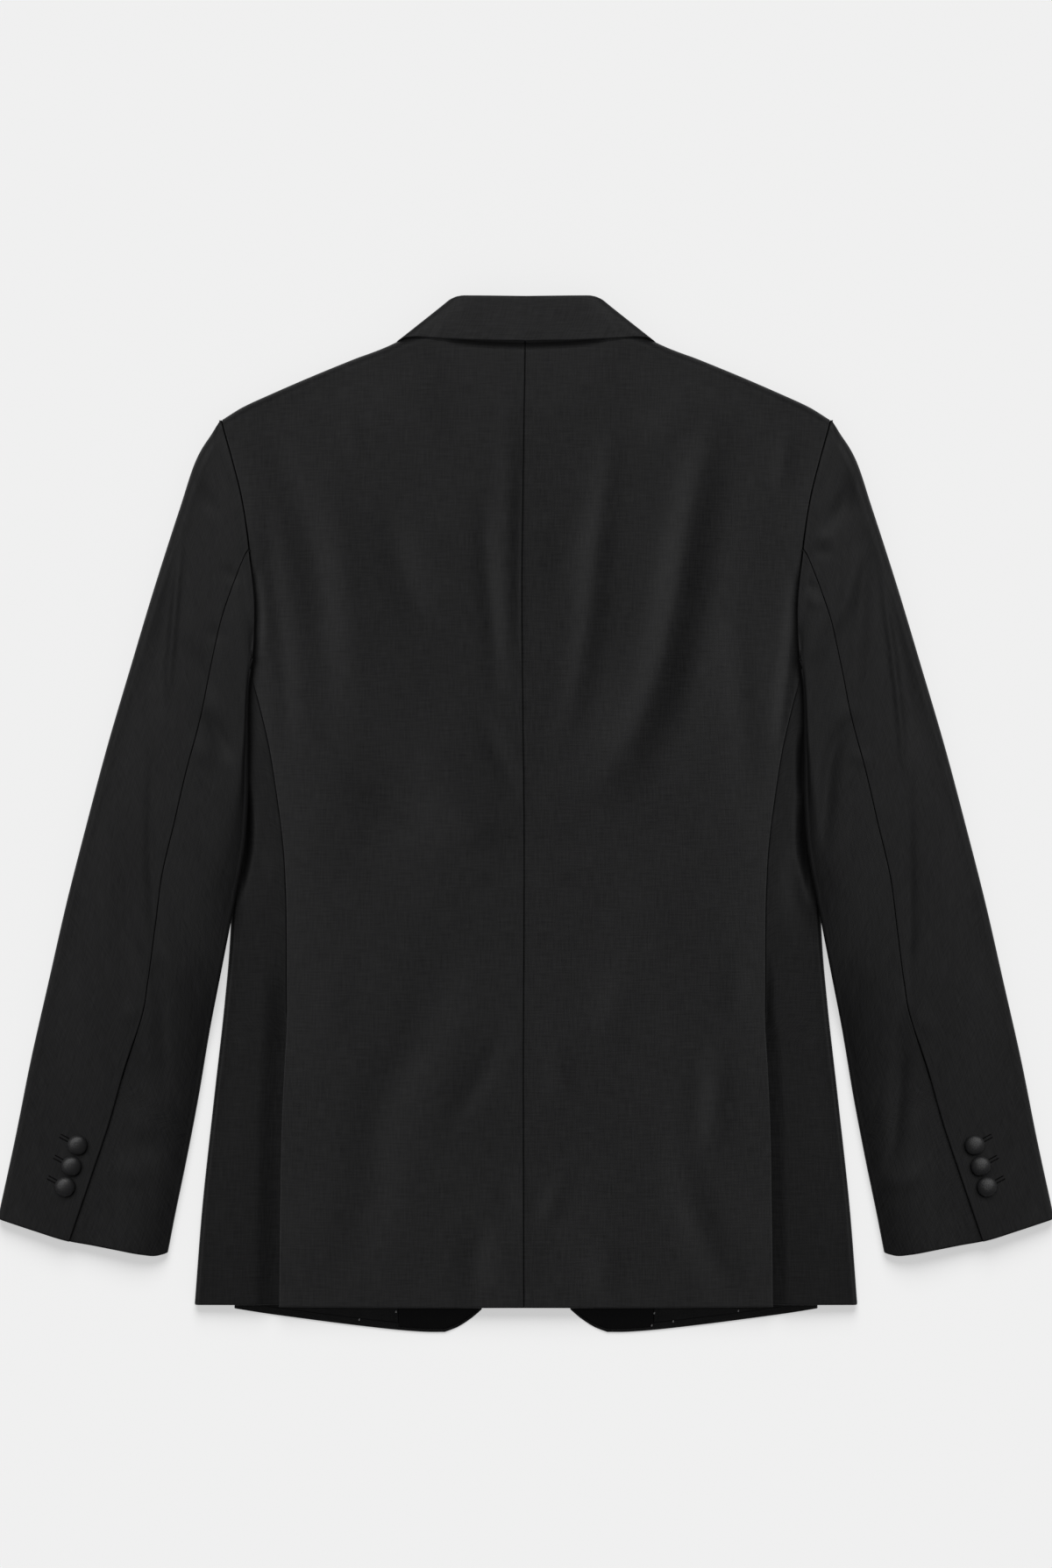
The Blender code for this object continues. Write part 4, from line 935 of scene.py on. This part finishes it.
roll, edge, _, across, normal = collar_frame(len(COLLAR) - 1)
start = roll + across * ROLL_RADIUS
flat_part = [edge + (start - edge) * share for share in stops(33, 2.2, near_end=(0, 1))]
centre = start - normal * ROLL_RADIUS
curl = [
    centre + ROLL_RADIUS * (normal * math.cos(angle) - across * math.sin(angle))
    for angle in np.radians(np.linspace(0, 110, 15)[1:])
]
grid = np.stack(flat_part + curl, axis=1)
collar_fall = cloth_shell("collar_fall_cloth", grid, COLLAR_WALL, UP, worsted, worsted, COLLAR_TURNS)
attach(collar_fall, "root")
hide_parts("collar_fall")

roll, _, seam, across, normal = collar_frame(len(COLLAR) - 2)
turning = np.exp(-((normal[:, 2] / 0.8) ** 2))[:, None]
start = roll + across * (ROLL_RADIUS + 1.0 + 5.0 * turning) - normal * (2.5 + 1.2 * turning)
on_top = normal[:, 2] > 0
high = np.maximum(body_top(seam[:, 0], seam[:, 1]), 8.2)
height = np.where(on_top, high, front_bottom(seam[:, 0], seam[:, 1], 0))
middle = np.abs(normal[:, 2]) < 0.6
height[middle] = np.interp(np.flatnonzero(middle), np.flatnonzero(~middle), height[~middle])
end = np.column_stack([seam, height])
end = end + unit(start - end) * (HIDDEN_SEAM_GAP + 1.3 * turning)
grid = np.stack([start + (end - start) * share for share in np.linspace(0, 1, 16)], axis=1)
collar_stand = cloth_shell("collar_stand_cloth", grid, COLLAR_WALL, UP, worsted, worsted)
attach(collar_stand, "root")
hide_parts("collar_stand")

# ---------------- the buttons
# Seven buttons covered in satin, each a dome drawn in under its edge: three near each cuff, and one that
# the fronts close with. The cuff's real buttonholes are worked with two rows of stitches each.
CUFF_BUTTONS = ((341.2, -250.9), (345.8, -266.9), (350.6, -282.6))
# Half sections from the middle of the top to the middle of the seat: radius, height.
CUFF_BUTTON_PROFILE = (
    (0, 4.2), (3, 3.95), (5.6, 3.15), (7.1, 2), (7.6, 1), (7.1, 0.15), (4.5, -0.4), (0, -0.5),
)
FRONT_BUTTON_PROFILE = ((0, 3.7), (5, 3.5), (8.2, 2.7), (9.8, 1.4), (9.6, 0.5), (8.6, 0), (4, 0), (0, 0))
BUTTON_SEAT = 1.5
BUTTON_FIT = 6.0
BUTTON_SATIN = ("button_satin", (0.0090, 0.0090, 0.0094), (0.0140, 0.0140, 0.0146), 0.38, 0.30, 0.0, 0.35)
button_satin = woven(*BUTTON_SATIN)


def tube_walls(rings, sides):
    """Faces that join each ring of points to the next one, all the way round."""
    number = np.arange(rings * sides).reshape(rings, sides)
    after = np.roll(number, -1, axis=1)
    return np.stack([number[:-1], number[1:], after[1:], after[:-1]], axis=-1).reshape(-1, 4).tolist()


def covered_button(name, profile, place, normal, finish):
    """A dome turned about its axis: rings along the profile, faintly gathered in below the widest one."""
    sides = 64
    rings = spline(profile, np.linspace(0, len(profile) - 1, 42))[1:-1]
    turn = np.linspace(0, 2 * math.pi, sides + 1)[:-1]
    gathered = np.clip((np.arange(len(rings)) - 18) / 6, 0, 1)[:, None]
    reach = rings[:, :1] * (1 + 0.012 * gathered * np.sin(11 * turn + 2 * np.sin(3 * turn)))
    points = [reach * np.cos(turn), reach * np.sin(turn), np.repeat(rings[:, 1:], sides, axis=1)]
    points = np.stack(points, axis=-1).reshape(-1, 3)
    points = np.vstack([points, (0, 0, profile[0][1]), (0, 0, profile[-1][1])])
    up = unit(np.array(normal, float))
    side_way = unit(np.cross((0, 1, 0), up))
    points = np.array(place) + points @ np.stack([side_way, np.cross(up, side_way), up])
    last = (len(rings) - 1) * sides
    caps = [(len(points) - 2, a, (a + 1) % sides) for a in range(sides)]
    caps += [(len(points) - 1, last + (a + 1) % sides, last + a) for a in range(sides)]
    return smooth_piece(name, points, tube_walls(len(rings), sides) + caps, (finish,), points[:, :2])


number = np.linspace(7.5, 10.8, 120)
shares = np.tile(np.linspace(0.02, 0.6, 160), (120, 1))
cuff_skin = {side: sleeve_grid(side, number, shares, np.full(160, True)).reshape(-1, 3) for side, _ in SIDES}


def cuff_plane(side, place, reach):
    """Slopes and height of the cuff at a place: the plane that best fits its points within the reach."""
    offset = cuff_skin[side][:, :2] - place
    near = np.linalg.norm(offset, axis=1) < reach
    flat_fit = np.column_stack([offset[near], np.ones(near.sum())])
    return np.linalg.lstsq(flat_fit, cuff_skin[side][near, 2], rcond=None)[0]


for side, word in SIDES:
    for count, (x, y) in enumerate(CUFF_BUTTONS, start=1):
        place = np.array((side * x, y))
        slope_x, slope_y, height = cuff_plane(side, place, BUTTON_FIT)
        seat, normal = (*place, height + BUTTON_SEAT), (-slope_x, -slope_y, 1)
        name = f"cuff_button_satin_{word}_{count}"
        button = covered_button(name, CUFF_BUTTON_PROFILE, seat, normal, button_satin)
        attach(button, "root")
        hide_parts(f"cuff_button_{word}_{count}")

button = covered_button("front_button_satin", FRONT_BUTTON_PROFILE, (*FRONT_BUTTON, 0), UP, button_satin)
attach(button, "root")
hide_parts("front_button")

# ---------------- the stitches
# Each cuff buttonhole is a cut worked round with two rows of black silk buttonhole stitches, running out from
# under its button. A few tacks hold the lining and the facing at the hem of each front; their pale thread is a
# painted highlight of the stitches.
HOLE_WAY = (0.88, 0.475)
HOLE_START = 6.5
HOLE_LENGTH = 9.0
HOLE_HALF_WIDTH = 1.3
HOLE_FIT = 8.0
HOLE_RISE = 0.15
HOLE_THREAD = (0.40, 1.0)
TACKS = ((-127.3, -384.7), (-99.3, -378.7), (97.7, -379.7), (95.7, -389.1), (112, -386), (161.7, -378))
TACK_WAY = (0.5, 1.8, 0)
TACK_RISE = 0.1
TACK_THREAD = (0.5, 4.0)


def stitched_row(start, end, thick, pitch):
    """Points and faces of a row of stitches: a thread that swells once a stitch and closes at both ends."""
    count, sides = 72, 10
    share = np.linspace(0, 1, count)
    length = np.linalg.norm(end - start)
    ends = ease(share * 9) * ease((1 - share) * 9)
    radius = thick * (1 + 0.4 * np.cos(2 * np.pi * share * length / pitch)) * ends
    way = (end - start) / length
    sideways = np.cross(UP, way)
    turn = np.linspace(0, 2 * math.pi, sides + 1)[:-1]
    ring = np.cos(turn)[:, None] * sideways + 0.7 * np.sin(turn)[:, None] * np.cross(way, sideways)
    points = (start + share[:, None] * (end - start))[:, None]
    points = points + np.maximum(radius, 0.02)[:, None, None] * ring
    caps = [list(range(sides)), list(range(count * sides))[: -sides - 1 : -1]]
    return points.reshape(-1, 3), tube_walls(count, sides) + caps


def thread_piece(name, parts, colour, gloss):
    """One object of all the given points and faces, in a plain silk whose sheen varies along the thread."""
    points, faces, first = [], [], 0
    for part_points, part_faces in parts:
        points.append(part_points)
        faces += [[first + corner for corner in face] for face in part_faces]
        first += len(part_points)
    silk = new_finish(name, {"Roughness": 0.55, "Specular IOR Level": gloss})
    place = add_node(silk, "TexCoord", {})["Object"]
    twist = add_node(silk, "TexNoise", {"Vector": place, "Scale": 2500.0})["Fac"]
    look(silk, {"Base Color": between(silk, twist, (colour * 0.6,) * 3, (colour * 1.4,) * 3)})
    piece = smooth_piece(name, np.concatenate(points), faces, (silk,))
    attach(piece, "root")


for side, word in SIDES:
    way = np.array((side * HOLE_WAY[0], HOLE_WAY[1]))
    square = np.array((-way[1], way[0]))
    rows = []
    for x, y in CUFF_BUTTONS:
        begin = np.array((side * x, y)) + way * HOLE_START
        middle = begin + way * HOLE_LENGTH / 2
        slope_x, slope_y, height = cuff_plane(side, middle, HOLE_FIT)
        for off in (-HOLE_HALF_WIDTH, HOLE_HALF_WIDTH):
            flat = np.array((begin, begin + way * HOLE_LENGTH)) + off * square
            rise = (flat - middle) @ (slope_x, slope_y) + height + HOLE_RISE
            rows.append(stitched_row(*np.column_stack([flat, rise]), *HOLE_THREAD))
    thread_piece(f"buttonhole_stitches_{word}", rows, 0.0016, 0.05)

# The tacks' pale thread colour is a painted highlight of their stitches.
rows = []
for x, y in TACKS:
    start = np.array((x, y - TACK_WAY[1] / 2, front_bottom(x, y, x > 0) + STRIP_RISE + TACK_RISE))
    rows.append(stitched_row(start, start + TACK_WAY, *TACK_THREAD))
thread_piece("hem_tacks", rows, 0.06, 0.2)

# Each half's pieces take the suns of their own side, with a sun each for its side panel and for its sleeve;
# those in the middle take one from either side.
for piece in bpy.context.scene.objects:
    if piece.type != "MESH" or piece is floor:
        continue
    part = "".join(word for _, word in SIDES if f"_{word}" in piece.name) or "middle"
    if any(word in piece.name for word in ("sleeve", "buttonhole", "cuff_button")):
        part += "_sleeve"
    elif "side_cloth" in piece.name:
        part += "_side"
    lit_parts[part].objects.link(piece)
    lit_parts["cloth"].objects.link(piece)
lit_parts["floor"].objects.link(floor)

bpy.context.view_layer.update()
